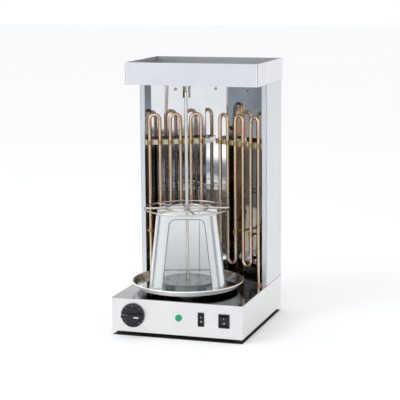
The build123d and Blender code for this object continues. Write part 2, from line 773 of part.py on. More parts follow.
pan_hole = hub_boss_diameter / 2 + flat_gap
pan_hole_land = 9.0
pan_bend = 0.8
rim_bead = 1.5
with BuildPart() as drip_pan:
    with BuildSketch(Plane.XZ.offset(-spit_y)):
        with BuildLine():
            FilletPolyline((spit_x + pan_hole + pan_hole_land - pan_sheet, pan_under),
                           (spit_x + pan_floor_radius, pan_under),
                           (spit_x + pan_radius - 2 * rim_bead, rim_top - rim_bead),
                           (spit_x + pan_radius - rim_bead, rim_top - rim_bead), radius=pan_bend)
            offset(amount=pan_sheet, side=Side.LEFT)
        make_face()
        with Locations((spit_x + pan_radius - rim_bead, rim_top - rim_bead)):
            Circle(rim_bead)
        with Locations((spit_x + pan_hole + pan_hole_land / 2, pan_under + pan_sheet / 2)):
            Rectangle(pan_hole_land, pan_sheet)
    revolve(axis=Axis((spit_x, spit_y, 0), (0, 0, 1)))
save(drip_pan.part, "drip_pan")

plate_hole = rod_diameter / 2 + 1.5
plate_vent_radius = 3.0
plate_vent_circle = 44.0
with BuildPart() as centre_plate:
    with Locations((spit_x, spit_y, pan_floor)):
        Cylinder(plate_radius, plate_top - pan_floor, align=(Align.CENTER, Align.CENTER, Align.MIN))
        Cylinder(plate_radius - plate_sheet, plate_under - pan_floor,
                 align=(Align.CENTER, Align.CENTER, Align.MIN), mode=Mode.SUBTRACT)
    fillet(centre_plate.edges().group_by(Axis.Z)[-1], 1.0)
    with BuildSketch(Plane.XY.offset(plate_under)):
        with Locations((spit_x, spit_y)):
            Circle(plate_hole)
            with PolarLocations(plate_vent_circle, 6, start_angle=stand_turn):
                Circle(plate_vent_radius)
    extrude(amount=2 * plate_sheet, mode=Mode.SUBTRACT)
save(centre_plate.part, "centre_plate")

# ---------------------------------------------------------------- stand
stand_slope = (stand_bottom_half - stand_top_half) / stand_height


def stand_half(height):
    """Half width of the stand's outside, at a height over its feet."""
    return stand_bottom_half - stand_slope * height


def stand_plane(height, quarter=0):
    """Level plane over the pan floor, turned with the stand and by quarter turns."""
    turn = radians(stand_turn + 90 * quarter)
    return Plane(origin=(spit_x, spit_y, pan_floor + height),
                 x_dir=(cos(turn), sin(turn), 0), z_dir=(0, 0, 1))


def stand_face_plane(quarter):
    """Upright plane through the spit's axis: local X across one face, local Y up."""
    turn = radians(stand_turn + 90 * quarter)
    return Plane(origin=(spit_x, spit_y, pan_floor), x_dir=(cos(turn), sin(turn), 0),
                 z_dir=(sin(turn), -cos(turn), 0))


window_top = stand_height - stand_band


def portal_sketch(plane):
    """Window that is open below: rounded head, sides along the legs, rounded feet."""
    low_half = stand_half(0) - stand_leg_width
    top_half = stand_half(window_top) - stand_leg_width
    foot = stand_foot_round
    swing = foot * (1 - sqrt(0.5))
    with BuildSketch(plane) as portal:
        with BuildLine():
            Polyline((low_half, foot), (top_half, window_top), (-top_half, window_top),
                     (-low_half, foot))
            ThreePointArc((-low_half, foot), (-low_half - swing, swing), (-low_half - foot, 0))
            ThreePointArc((low_half, foot), (low_half + swing, swing), (low_half + foot, 0))
            Line((-low_half - foot, 0), (low_half + foot, 0))
        make_face()
        fillet(portal.vertices().group_by(Axis.Y)[-1], stand_window_corner)
    return portal


with BuildPart() as stand_shell:
    for wall, mode in ((0, Mode.ADD), (sheet, Mode.SUBTRACT)):
        for height, half in ((0, stand_bottom_half), (stand_height, stand_top_half)):
            with BuildSketch(stand_plane(height)):
                RectangleRounded(2 * (half - wall), 2 * (half - wall), stand_corner - wall)
        loft(ruled=True, mode=mode)
    for quarter in (0, 1, 3):
        portal = portal_sketch(stand_face_plane(quarter))
        extrude(portal.sketch, amount=stand_bottom_half + sheet, mode=Mode.SUBTRACT)
    with BuildSketch(stand_face_plane(2)):
        with Locations((0, stand_rear_arch / 2)):
            SlotOverall(2 * (stand_half(0) - stand_leg_width), stand_rear_arch)
        Rectangle(2 * (stand_half(0) - stand_leg_width), stand_rear_arch)
    extrude(amount=stand_bottom_half + sheet, mode=Mode.SUBTRACT)
save(stand_shell.part, "stand_shell")

wire_back = stand_half(cross_wire_height) - sheet - cross_wire_diameter / 2 - 3 * fit_gap
cross_wire_land = 6.0
wire_half = stand_half(cross_wire_height) - stand_leg_width + cross_wire_land
with BuildPart() as stand_cross_wire:
    wire_plane = stand_plane(cross_wire_height)
    rod_between(tuple(wire_plane.from_local_coords(Vector(-wire_half, -wire_back, 0))),
                tuple(wire_plane.from_local_coords(Vector(wire_half, -wire_back, 0))),
                cross_wire_diameter / 2)
save(stand_cross_wire.part, "stand_cross_wire")

# ---------------------------------------------------------------- spit and skewer ring
fork_low = tray_z - fork_drop
with BuildPart() as spit_rod:
    with Locations((spit_x, spit_y, ring_z)):
        Cylinder(rod_diameter / 2, rod_top_z - ring_z, align=(Align.CENTER, Align.CENTER, Align.MIN))
    with Locations((spit_x, spit_y, plate_under)):
        Cylinder(rod_lower_diameter / 2, ring_z - plate_under,
                 align=(Align.CENTER, Align.CENTER, Align.MIN))
        Box(socket_square - 2 * fit_gap, socket_square - 2 * fit_gap, socket_depth,
            align=(Align.CENTER, Align.CENTER, Align.MAX))
    chamfer(spit_rod.edges().group_by(Axis.Z)[-1], 1.5)
save(spit_rod.part, "spit_rod")

main_bar_angle = stand_turn
cross_bar_angle = stand_turn - 79.0
spoke_offset = 45.0
with BuildPart() as skewer_ring:
    for radius in (ring_radius, ring_inner_radius):
        with BuildSketch(Plane.XZ.offset(-spit_y)):
            with Locations((spit_x + radius, ring_z)):
                Circle(ring_wire / 2)
        revolve(axis=Axis((spit_x, spit_y, 0), (0, 0, 1)))
    for angle, wire in ((main_bar_angle, ring_main_wire), (cross_bar_angle, ring_wire)):
        way = (cos(radians(angle)), sin(radians(angle)))
        rod_between((spit_x - ring_radius * way[0], spit_y - ring_radius * way[1], ring_z),
                    (spit_x + ring_radius * way[0], spit_y + ring_radius * way[1], ring_z), wire / 2)
    for quarter in range(4):
        angle = radians(main_bar_angle + spoke_offset + 90 * quarter)
        way = (cos(angle), sin(angle))
        rod_between((spit_x + ring_inner_radius * way[0], spit_y + ring_inner_radius * way[1], ring_z),
                    (spit_x + ring_radius * way[0], spit_y + ring_radius * way[1], ring_z),
                    ring_wire / 2)
    with Locations((spit_x, spit_y, ring_z)):
        Cylinder(ring_hub_diameter / 2, ring_hub_height)
        Cylinder(rod_diameter / 2 + fit_gap / 2, ring_hub_height, mode=Mode.SUBTRACT,
                 align=(Align.CENTER, Align.CENTER, Align.MIN))
        Cylinder(rod_lower_diameter / 2 + fit_gap / 2, ring_hub_height, mode=Mode.SUBTRACT,
                 align=(Align.CENTER, Align.CENTER, Align.MAX))
save(skewer_ring.part, "skewer_ring")

# ---------------------------------------------------------------- top fork
fork_half = rod_diameter / 2 + fork_gap
with BuildPart() as spit_fork:
    box_between((spit_x - fork_half - fork_wall, spit_y - fork_reach / 2, fork_low),
                (spit_x + fork_half + fork_wall, spit_y + fork_half + fork_wall, tray_z))
    box_between((spit_x - fork_half, spit_y - fork_reach, fork_low),
                (spit_x + fork_half, spit_y + fork_half, tray_z - sheet), Mode.SUBTRACT)
    box_between((spit_x - fork_reach, spit_y + fork_half, tray_z - 2 * sheet),
                (spit_x + fork_reach, spit_y + 2 * fork_reach, tray_z))
save(spit_fork.part, "spit_fork")

# ---------------------------------------------------------------- knob and regulator
knob_back = front_y - knob_panel_gap
knob_front = front_y - knob_reach
knob_edge = 1.5
knob_grip_width = 13.0
knob_grip_over = 8.0
knob_grip_round = 2.0
shaft_inside = 6.0
shaft_hole_depth = 10.0
shaft_share = 0.55
knob_hole_share = 0.6
with BuildPart() as control_knob:
    with BuildSketch(facing_front(knob_back)):
        with Locations((knob_x, knob_z)):
            Circle(knob_diameter / 2)
    extrude(amount=knob_skirt)
    chamfer(control_knob.edges().group_by(Axis.Y)[0], knob_edge)
    with BuildSketch(facing_front(knob_back - knob_skirt)):
        with Locations((knob_x, knob_z)):
            Circle(knob_body_diameter / 2)
    extrude(amount=knob_skirt)
    with BuildSketch(facing_front(knob_back - knob_skirt)):
        with Locations((knob_x, knob_z)):
            SlotOverall(knob_body_diameter + knob_grip_over, knob_grip_width)
    extrude(amount=knob_back - knob_skirt - knob_front)
    fillet(control_knob.edges().group_by(Axis.Y)[0], knob_grip_round)
    with BuildSketch(facing_front(knob_back)):
        with Locations((knob_x, knob_z)):
            Circle(regulator_shaft_diameter / 2 + press_gap)
    extrude(amount=knob_reach * knob_hole_share, mode=Mode.SUBTRACT)
save(control_knob.part, "control_knob")

with BuildPart() as regulator_shaft:
    with BuildSketch(facing_front(front_y + sheet + shaft_inside)):
        with Locations((knob_x, knob_z)):
            Circle(regulator_shaft_diameter / 2)
    extrude(amount=sheet + shaft_inside + knob_panel_gap + knob_reach * shaft_share)
save(regulator_shaft.part, "regulator_shaft")

with BuildPart() as regulator_body:
    with BuildSketch(facing_front(front_y + sheet + regulator_length)):
        with Locations((knob_x, knob_z)):
            RectangleRounded(regulator_size, regulator_size, 4.0)
    extrude(amount=regulator_length)
    with BuildSketch(facing_front(front_y + sheet + shaft_hole_depth)):
        with Locations((knob_x, knob_z)):
            Circle(regulator_shaft_diameter / 2 + press_gap)
            with GridLocations(regulator_screw_spread, 0, 2, 1):
                Circle(screw_diameter / 2 + fit_gap)
    extrude(amount=shaft_hole_depth, mode=Mode.SUBTRACT)
save(regulator_body.part, "regulator_body")

regulator_screws = screw_places(
    [(knob_x + side * regulator_screw_spread / 2, front_y, knob_z) for side in (-1, 1)], to_front)
with BuildPart() as regulator_fixings:
    with Locations(*regulator_screws):
        Cylinder(screw_diameter / 2, sheet + shaft_inside, align=(Align.CENTER, Align.CENTER, Align.MAX))
        Cylinder(screw_head_diameter / 2, knob_panel_gap * 0.7,
                 align=(Align.CENTER, Align.CENTER, Align.MIN))
save(regulator_fixings.part, "regulator_screws")

# ---------------------------------------------------------------- pilot lamp
lens_dome = 3.5
lens_flange = 1.2
bulb_diameter = 5.0
bulb_length = 12.0
lamp_wall = 1.2
with BuildPart() as lamp_lens:
    with BuildSketch(facing_front(front_y)):
        with Locations((lamp_x, lamp_z)):
            Circle(lamp_diameter / 2)
    extrude(amount=lens_dome)
    fillet(lamp_lens.edges().group_by(Axis.Y)[0], lens_dome - lens_flange)
save(lamp_lens.part, "lamp_lens")

with BuildPart() as lamp_body:
    with BuildSketch(facing_front(front_y + lamp_barrel_length)):
        with Locations((lamp_x, lamp_z)):
            Circle(lamp_barrel_diameter / 2)
    extrude(amount=lamp_barrel_length)
    with BuildSketch(facing_front(front_y + lamp_barrel_length - lamp_wall)):
        with Locations((lamp_x, lamp_z)):
            Circle(lamp_barrel_diameter / 2 - lamp_wall)
    extrude(amount=lamp_barrel_length - lamp_wall, mode=Mode.SUBTRACT)
    with BuildSketch(facing_front(front_y + sheet + 2.0)):
        with Locations((lamp_x, lamp_z)):
            Circle(lamp_diameter / 2)
            Circle(lamp_barrel_diameter / 2 - fit_gap, mode=Mode.SUBTRACT)
    extrude(amount=2.0)
save(lamp_body.part, "lamp_body")

with BuildPart() as lamp_bulb:
    with BuildSketch(facing_front(front_y + lamp_barrel_length - lamp_wall)):
        with Locations((lamp_x, lamp_z)):
            Circle(bulb_diameter / 2)
    extrude(amount=bulb_length)
    fillet(lamp_bulb.edges().group_by(Axis.Y)[0], bulb_diameter * 0.4)
save(lamp_bulb.part, "lamp_bulb")

# ---------------------------------------------------------------- rocker switches
pivot_behind = 3.0
pivot_pin = 2.4
pivot_reach = 1.0
rocker_half = 10.6
rocker_lift = 1.6
rocker_hollow = 0.4
rocker_deep = 7.0
rocker_keel = 2.0
rocker_taper = 1.0
cavity_depth = 12.0
pivot_y = front_y + pivot_behind
rocker_swing = sqrt(rocker_half ** 2 + (pivot_behind + rocker_lift) ** 2)
cavity_half = rocker_swing + rocker_gap
side_rim = 2.4


def switch_housing(x, width):
    """Bezel on the panel's face and a body behind it, with a pocket for the rocker."""
    with BuildPart() as housing:
        with BuildSketch(facing_front(front_y)):
            with Locations((x, switch_z)):
                RectangleRounded(width, switch_height, 1.5)
        extrude(amount=switch_bezel)
        fillet(housing.edges().group_by(Axis.Y)[0], 0.8)
        with BuildSketch(facing_front(front_y + switch_body_length)):
            with Locations((x, switch_z)):
                Rectangle(width - switch_rim, switch_body_height)
        extrude(amount=switch_body_length)
        with BuildSketch(facing_front(front_y + cavity_depth)):
            with Locations((x, switch_z)):
                Rectangle(width - 2 * side_rim, 2 * cavity_half)
        extrude(amount=cavity_depth + switch_bezel, mode=Mode.SUBTRACT)
        with Locations(Location((x, pivot_y, switch_z), (0, 90, 0))):
            Cylinder(pivot_pin / 2 + press_gap, width - 2 * side_rim + 2 * (pivot_reach + fit_gap),
                     mode=Mode.SUBTRACT)
    return housing.part


def rocker(x, width):
    """Rocker with a hollow face, pressed in at its lower half, on two pivot stubs."""
    half = width / 2 - side_rim - rocker_gap
    with BuildPart() as lever:
        with BuildSketch(Plane.YZ.offset(x - half)):
            with BuildLine():
                Polyline((front_y - rocker_lift, switch_z + rocker_half),
                         (front_y + rocker_hollow, switch_z),
                         (front_y - rocker_lift, switch_z - rocker_half),
                         (pivot_y, switch_z - rocker_half + rocker_taper),
                         (pivot_y + rocker_deep, switch_z - rocker_keel),
                         (pivot_y + rocker_deep, switch_z + rocker_keel),
                         (pivot_y, switch_z + rocker_half - rocker_taper), close=True)
            make_face()
        extrude(amount=2 * half)
        fillet(lever.edges().filter_by(Axis.X).group_by(Axis.Y)[0], 0.6)
        with Locations(Location((x, pivot_y, switch_z), (0, 90, 0))):
            Cylinder(pivot_pin / 2, 2 * (half + rocker_gap + pivot_reach))
    pivot = Axis((x, pivot_y, switch_z), (1, 0, 0))
    return lever.part.rotate(pivot, rocker_tilt)


for switch_name, (switch_x, switch_width) in switches.items():
    save(switch_housing(switch_x, switch_width), f"{switch_name}_switch_housing")
    save(rocker(switch_x, switch_width), f"{switch_name}_rocker")

# ---------------------------------------------------------------- rear inlet and terminals
gland_head = 5.0
gland_round = 3.0
gland_cap_radius = gland_hex / 2 - 1.0
gland_rear = back_y + gland_reach
with BuildPart() as cable_gland:
    with BuildSketch(facing_front(back_y)):
        with Locations((gland_x, gland_z)):
            RegularPolygon(gland_hex / 2, 6, major_radius=False)
    extrude(amount=-gland_head)
    with BuildSketch(facing_front(back_y - sheet - gland_inside)):
        with Locations((gland_x, gland_z)):
            Circle(gland_thread_diameter / 2)
    extrude(amount=-(sheet + gland_inside))
    with BuildSketch(facing_front(back_y + gland_head)):
        with Locations((gland_x, gland_z)):
            Circle(gland_cap_radius)
    extrude(amount=-(gland_reach - gland_head))
    fillet(cable_gland.edges().group_by(Axis.Y)[-1], gland_round)
    with BuildSketch(facing_front(gland_rear)):
        with Locations((gland_x, gland_z)):
            Circle(gland_bore_diameter / 2)
    extrude(amount=gland_reach + sheet + gland_inside, mode=Mode.SUBTRACT)
save(cable_gland.part, "cable_gland")

with BuildPart() as gland_locknut:
    with BuildSketch(facing_front(back_y - sheet)):
        with Locations((gland_x, gland_z)):
            RegularPolygon(gland_hex / 2, 6, major_radius=False)
            Circle(gland_thread_diameter / 2 + fit_gap, mode=Mode.SUBTRACT)
    extrude(amount=gland_nut_height)
save(gland_locknut.part, "gland_locknut")

block_ways = 5
block_pitch = 11.0
block_x = first_leg_x + block_pitch
block_from_back = 32.0
block_depth = base_depth - block_from_back
block_width = 18.0
block_height = 15.0
block_hole_depth = 8.0
block_screw_radius = 2.3
block_screw_height = 3.0
block_screw_sunk = 4.0
block_low = foot_height + sheet
block_wire_z = block_low + block_height * 0.4
way_xs = [block_x + (way - (block_ways - 1) / 2) * block_pitch for way in range(block_ways)]
with BuildPart() as terminal_block:
    with Locations((block_x, depth(block_depth), block_low)):
        Box(block_ways * block_pitch + 2.0, block_width, block_height,
            align=(Align.CENTER, Align.CENTER, Align.MIN))
    with Locations(*[(x, depth(block_depth), block_low + block_height) for x in way_xs]):
        Cylinder(block_screw_radius + fit_gap, block_hole_depth, mode=Mode.SUBTRACT)
    with Locations(*[Location((x, depth(block_depth - block_width / 2), block_wire_z), to_front)
                     for x in way_xs]):
        Cylinder(lead_diameter / 2 + fit_gap, block_hole_depth, mode=Mode.SUBTRACT)
save(terminal_block.part, "terminal_block")

with BuildPart() as terminal_screws:
    with Locations(*[(x, depth(block_depth), block_low + block_height - block_screw_sunk)
                     for x in way_xs]):
        Cylinder(block_screw_radius, block_screw_height, align=(Align.CENTER, Align.CENTER, Align.MIN))
save(terminal_screws.part, "terminal_screws")

# ---------------------------------------------------------------- wiring in the base
block_front = depth(block_depth - block_width / 2)
lead_tuck = 4.0
bench_depth = 56.0
bench_step = 4.0
motor_lead_z = motor_bottom + motor_height / 2
inner_right, outer_right = deck_legs[2], deck_legs[3]
inner_left, outer_left = deck_legs[0], deck_legs[1]


def lead_part(points):
    """Insulated lead along straight runs joined by round bends."""
    with BuildPart() as lead:
        with BuildLine() as run:
            FilletPolyline(*points, radius=lead_bend)
        with BuildSketch(Plane(origin=run.line @ 0, z_dir=run.line % 0)):
            Circle(lead_diameter / 2)
        sweep(path=run.line)
    return lead.part


def heater_lead(way, leg):
    """From one way of the block, across the floor of the base, up to a heater's stud."""
    x, y = leg
    start = (way_xs[way], block_front + lead_tuck, block_wire_z)
    corner = (way_xs[way], y, block_wire_z)
    if abs(x - way_xs[way]) < 2 * lead_bend:
        return [start, (x, y, block_wire_z), (x, y, stud_end_z)]
    return [start, corner, (x, y, block_wire_z), (x, y, stud_end_z)]


def bench_lead(x, reach, next_x, next_reach, z, level):
    """Loop from the back of one control to the back of the next, at one height."""
    turn = depth(bench_depth + level * bench_step)
    return [(x, depth(reach), z), (x, turn, z), (next_x, turn, z), (next_x, depth(next_reach), z)]


motor_side = spit_x + motor_offset + motor_diameter / 2
motor_way_x = way_xs[-2]
lead_runs = {
    "heater": [heater_lead(0, inner_left), heater_lead(1, inner_right),
               heater_lead(2, outer_left), heater_lead(4, outer_right)],
    "motor": [[(motor_way_x, block_front + lead_tuck, block_wire_z),
               (motor_way_x, spit_y, block_wire_z),
               (motor_way_x, spit_y, motor_lead_z),
               (motor_side, spit_y, motor_lead_z)]],
    "control": [bench_lead(large_switch_x, switch_body_length, small_switch_x,
                           switch_body_length, switch_z + 5.0, 0),
                bench_lead(small_switch_x, switch_body_length, lamp_x,
                           lamp_barrel_length, switch_z - 3.0, 1),
                bench_lead(lamp_x, lamp_barrel_length, knob_x, sheet + regulator_length,
                           switch_z + 3.0, 2)]}
for group, runs in lead_runs.items():
    save(Compound(children=[lead_part(run) for run in runs]), f"{group}_leads")
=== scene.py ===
# %% [markdown]
# # An electric skewer grill
#
# We work from one photograph, and read it as a countertop grill of bent stainless
# sheet. A flat base carries the controls, and a tower holds two banks of heater tubes
# before a folded mirror. In front of them a pan, a stand and a spit with a ring of two
# hoops turn together. What the photograph doesn't settle, such as what the stand is made
# of and the knob's shape, is our own reading.
#
# The CAD model gives every solid its place and size. This notebook dresses it: it
# loads that frame, adds finer pieces where the eye goes, and gives each surface its
# own finish. We start by loading the frame. Nothing that we add may grow out of its box.

# %% Load the frame
import bmesh
import bpy
from math import cos, pi, radians, sin
from mathutils import Matrix, Vector
from mathutils.bvhtree import BVHTree


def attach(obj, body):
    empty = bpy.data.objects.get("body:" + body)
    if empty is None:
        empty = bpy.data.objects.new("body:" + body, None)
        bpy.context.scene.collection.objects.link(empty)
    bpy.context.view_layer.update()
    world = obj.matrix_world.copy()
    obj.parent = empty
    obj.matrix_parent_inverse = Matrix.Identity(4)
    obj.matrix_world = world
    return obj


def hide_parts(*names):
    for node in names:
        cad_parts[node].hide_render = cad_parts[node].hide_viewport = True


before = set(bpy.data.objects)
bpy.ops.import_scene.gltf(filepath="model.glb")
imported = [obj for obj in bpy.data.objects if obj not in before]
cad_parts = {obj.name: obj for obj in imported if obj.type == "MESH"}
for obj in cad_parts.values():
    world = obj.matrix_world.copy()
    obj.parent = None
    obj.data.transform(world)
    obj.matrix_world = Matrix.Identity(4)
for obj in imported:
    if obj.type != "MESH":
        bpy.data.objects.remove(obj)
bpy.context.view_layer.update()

# %% [markdown]
# ## The camera
#
# The photograph looks slightly down at the grill from the right. The camera stands
# three metres away with a long lens, as a product photographer does, because that
# keeps the uprights nearly parallel. A target and a small roll are easier to read
# than three raw angles, so the camera is turned with a tracking quaternion.

# %% Camera at the photograph's angle
camera_place = Vector((0.96546, -2.94036, 0.81121))
camera_target = Vector((0.0071, -0.0100, 0.2831))
camera_roll = radians(-0.45)
camera_data = bpy.data.cameras.new("camera")
camera_data.lens = 125.57
camera_data.sensor_width = 36.0
camera = bpy.data.objects.new("camera", camera_data)
bpy.context.scene.collection.objects.link(camera)
looking = (camera_target - camera_place).to_track_quat("-Z", "Y")
camera.matrix_world = (Matrix.Translation(camera_place) @ looking.to_matrix().to_4x4()
                       @ Matrix.Rotation(camera_roll, 4, "Z"))
bpy.context.scene.camera = camera
bpy.context.scene.view_settings.view_transform = "Standard"
print("camera is", round((camera_target - camera_place).length, 3), "m away")

# %% [markdown]
# ## The studio
#
# Polished steel shows mostly what stands around it, so the studio matters more than
# the metal's colour. The world is plain white to the camera and to reflections, and a
# shade bluer to matt surfaces. A wide soft lamp from the upper left gives the soft
# shadow on the right.

# %% World
world = bpy.data.worlds.new("studio")
bpy.context.scene.world = world
world.use_nodes = True
sky = world.node_tree
sky.nodes.clear()
sky_out = sky.nodes.new("ShaderNodeOutputWorld")
sky_mix = sky.nodes.new("ShaderNodeMixShader")
sky_soft = sky.nodes.new("ShaderNodeBackground")
sky_soft.inputs["Color"].default_value = (0.97, 0.985, 1.0, 1)
sky_soft.inputs["Strength"].default_value = 1.0
sky_white = sky.nodes.new("ShaderNodeBackground")
sky_white.inputs["Color"].default_value = (1, 1, 1, 1)
sky_white.inputs["Strength"].default_value = 1.0
sky_path = sky.nodes.new("ShaderNodeLightPath")
seen = sky_path.outputs["Is Camera Ray"]
for kind in ("Is Glossy Ray", "Is Transmission Ray"):
    either = sky.nodes.new("ShaderNodeMath")
    either.operation = "MAXIMUM"
    sky.links.new(seen, either.inputs[0])
    sky.links.new(sky_path.outputs[kind], either.inputs[1])
    seen = either.outputs[0]
sky.links.new(seen, sky_mix.inputs[0])
sky.links.new(sky_soft.outputs[0], sky_mix.inputs[1])
sky.links.new(sky_white.outputs[0], sky_mix.inputs[2])
sky.links.new(sky_mix.outputs[0], sky_out.inputs["Surface"])
print("world: 1.0, slightly blue for matt surfaces")


# %% Lamps
lamp_aim = Vector((0, 0, 0.25))


def soft_lamp(name, place, size, power):
    data = bpy.data.lights.new(name, "AREA")
    data.shape = "RECTANGLE"
    data.size, data.size_y = size
    data.energy = power
    lamp = bpy.data.objects.new(name, data)
    bpy.context.scene.collection.objects.link(lamp)
    aimed = (lamp_aim - Vector(place)).to_track_quat("-Z", "Y")
    lamp.matrix_world = Matrix.Translation(place) @ aimed.to_matrix().to_4x4()
    return lamp


soft_lamp("key", (-1.5, -1.6, 2.3), (1.3, 1.3), 17)
soft_lamp("front", (-0.5, -2.6, 0.9), (1.4, 1.0), 8).visible_glossy = False
print("lamps: key upper left, softer one in front")


# %% [markdown]
# ## Cards for the mirrors to see
#
# A mirror in an all-white room looks white. The photograph shows dark and blue-grey
# patches between the heaters, most likely the room in front of the grill. We don't know
# that room, so two cloudy cards lie on the floor ahead and a grey one stands at each
# side. They only stand in for it. Only reflections see them: the camera, shadows and
# matt surfaces pass through.

# %% Card maker
def card(name, place, half_size, levels, scale):
    """Glowing card that faces its local Z, with cloudy levels, seen only in reflections."""
    material = bpy.data.materials.new(name)
    material.use_nodes = True
    tree = material.node_tree
    tree.nodes.clear()
    source = tree.nodes.new("ShaderNodeTexCoord")
    cloud = tree.nodes.new("ShaderNodeTexNoise")
    cloud.inputs["Scale"].default_value = scale
    cloud.inputs["Detail"].default_value = 3.0
    tree.links.new(source.outputs["Object"], cloud.inputs["Vector"])
    level = tree.nodes.new("ShaderNodeMapRange")
    level.inputs["From Min"].default_value = 0.42
    level.inputs["From Max"].default_value = 0.58
    level.inputs["To Min"].default_value, level.inputs["To Max"].default_value = levels
    tree.links.new(cloud.outputs["Fac"], level.inputs["Value"])
    glow = tree.nodes.new("ShaderNodeEmission")
    glow.inputs["Color"].default_value = (0.82, 0.90, 1.0, 1)
    tree.links.new(level.outputs["Result"], glow.inputs["Strength"])
    out = tree.nodes.new("ShaderNodeOutputMaterial")
    tree.links.new(glow.outputs[0], out.inputs["Surface"])
    bm = bmesh.new()
    bmesh.ops.create_grid(bm, x_segments=1, y_segments=1, size=1.0)
    bmesh.ops.scale(bm, vec=(*half_size, 1), verts=bm.verts)
    bmesh.ops.transform(bm, matrix=place, verts=bm.verts)
    mesh = bpy.data.meshes.new(name)
    bm.to_mesh(mesh)
    bm.free()
    mesh.materials.append(material)
    piece = bpy.data.objects.new(name, mesh)
    bpy.context.scene.collection.objects.link(piece)
    for ray in ("camera", "diffuse", "shadow", "transmission", "volume_scatter"):
        setattr(piece, f"visible_{ray}", False)


# %% Cards
card("card_floor_right", Matrix.Translation((1.3, -1.65, 0.004)), (1.15, 0.95), (0.03, 0.42), 3.2)
card("card_floor_left", Matrix.Translation((-1.0, -1.55, 0.004)), (1.1, 0.75), (0.25, 1.0), 4.0)
for side, label in ((-1, "left"), (1, "right")):
    upright = Matrix.Rotation(radians(-90 * side), 4, "Y")
    card(f"card_{label}", Matrix.Translation((side * 1.2, -0.45, 0.45)) @ upright,
         (0.45, 0.30), (0.15, 0.45), 1.5)


# %% [markdown]
# ## Helpers
#
# A few small helpers keep the later cells short. One closes a bmesh into an object that
# rides on a CAD body, one turns a profile on a lathe, and one reads the points of each
# loose solid inside a CAD node, so that a cross lands on each of the CAD screws.

# %% Mesh helpers
def finish_piece(bm, name, body, material, smooth=35.0):
    """Close a bmesh into an object at the origin that rides on a CAD body."""
    bmesh.ops.remove_doubles(bm, verts=bm.verts, dist=1e-6)
    bmesh.ops.recalc_face_normals(bm, faces=bm.faces)
    mesh = bpy.data.meshes.new(name)
    bm.to_mesh(mesh)
    bm.free()
    mesh.set_sharp_from_angle(angle=radians(smooth))
    for face in mesh.polygons:
        face.use_smooth = True
    piece = bpy.data.objects.new(name, mesh)
    bpy.context.scene.collection.objects.link(piece)
    if material:
        mesh.materials.append(material)
    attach(piece, body)
    return piece


def loose_solids(node):
    """The points of each loose solid in a CAD node, so that a finer piece lands on it."""
    bm = bmesh.new()
    bm.from_mesh(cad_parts[node].data)
    bmesh.ops.remove_doubles(bm, verts=bm.verts, dist=1e-6)
    waiting = set(bm.verts)
    solids = []
    while waiting:
        reached = [waiting.pop()]
        points = []
        while reached:
            vert = reached.pop()
            points.append(vert.co.copy())
            for edge in vert.link_edges:
                other = edge.other_vert(vert)
                if other in waiting:
                    waiting.discard(other)
                    reached.append(other)
        solids.append(points)
    bm.free()
    return solids


def turned(profile, place, steps=64):
    """Turns a profile of (radius, height) points round local Z and sets it in place."""
    bm = bmesh.new()
    points = [bm.verts.new((radius, 0, height)) for radius, height in profile]
    for first, second in zip(points, points[1:]):
        bm.edges.new((first, second))
    bmesh.ops.spin(bm, geom=bm.verts[:] + bm.edges[:], axis=(0, 0, 1), cent=(0, 0, 0),
                   angle=2 * pi, steps=steps, use_merge=True)
    bmesh.ops.transform(bm, matrix=place, verts=bm.verts)
    return bm


def add_bar(bm, size, place):
    """Adds a box of the given size, centred on the place."""
    made = bmesh.ops.create_cube(bm, size=1.0)["verts"]
    bmesh.ops.scale(bm, vec=size, verts=made)
    bmesh.ops.transform(bm, matrix=place, verts=made)


print("loose solids in reflector_screws:", len(loose_solids("reflector_screws")))


# %% [markdown]
# ## Shared effects
#
# Real sheet shows its history. Rolling and brushing leave fine lines one way, hands
# leave soft cloudy marks, and a spun pan shows rings. More than one finish uses these
# effects, so each becomes a shader node group with named sockets, built once.

# %% Group maker
def group(name, inputs, outputs):
    tree = bpy.data.node_groups.new(name, "ShaderNodeTree")
    for label, kind, value in inputs:
        socket = tree.interface.new_socket(name=label, in_out="INPUT", socket_type=kind)
        if value is not None:
            socket.default_value = value
    for label, kind in outputs:
        tree.interface.new_socket(name=label, in_out="OUTPUT", socket_type=kind)
    start = tree.nodes.new("NodeGroupInput")
    end = tree.nodes.new("NodeGroupOutput")
    return tree, start, end


def calc(tree, operation, *values, clamp=False):
    """A Math node fed by numbers or sockets; returns its output socket."""
    node = tree.nodes.new("ShaderNodeMath")
    node.operation = operation
    node.use_clamp = clamp
    for slot_number, value in enumerate(values):
        if isinstance(value, (int, float)):
            node.inputs[slot_number].default_value = value
        else:
            tree.links.new(value, node.inputs[slot_number])
    return node.outputs[0]


FLOAT, VECTOR = "NodeSocketFloat", "NodeSocketVector"

# %% Brushed grain
grain_group, start, end = group(
    "brushed_grain", [("Vector", VECTOR, None), ("Fineness", FLOAT, 900.0)],
    [("Grain", FLOAT)])
fine = grain_group.nodes.new("ShaderNodeTexNoise")
fine.inputs["Detail"].default_value = 4.0
fine.inputs["Roughness"].default_value = 0.7
grain_group.links.new(start.outputs["Vector"], fine.inputs["Vector"])
grain_group.links.new(start.outputs["Fineness"], fine.inputs["Scale"])
grain_group.links.new(fine.outputs["Fac"], end.inputs["Grain"])

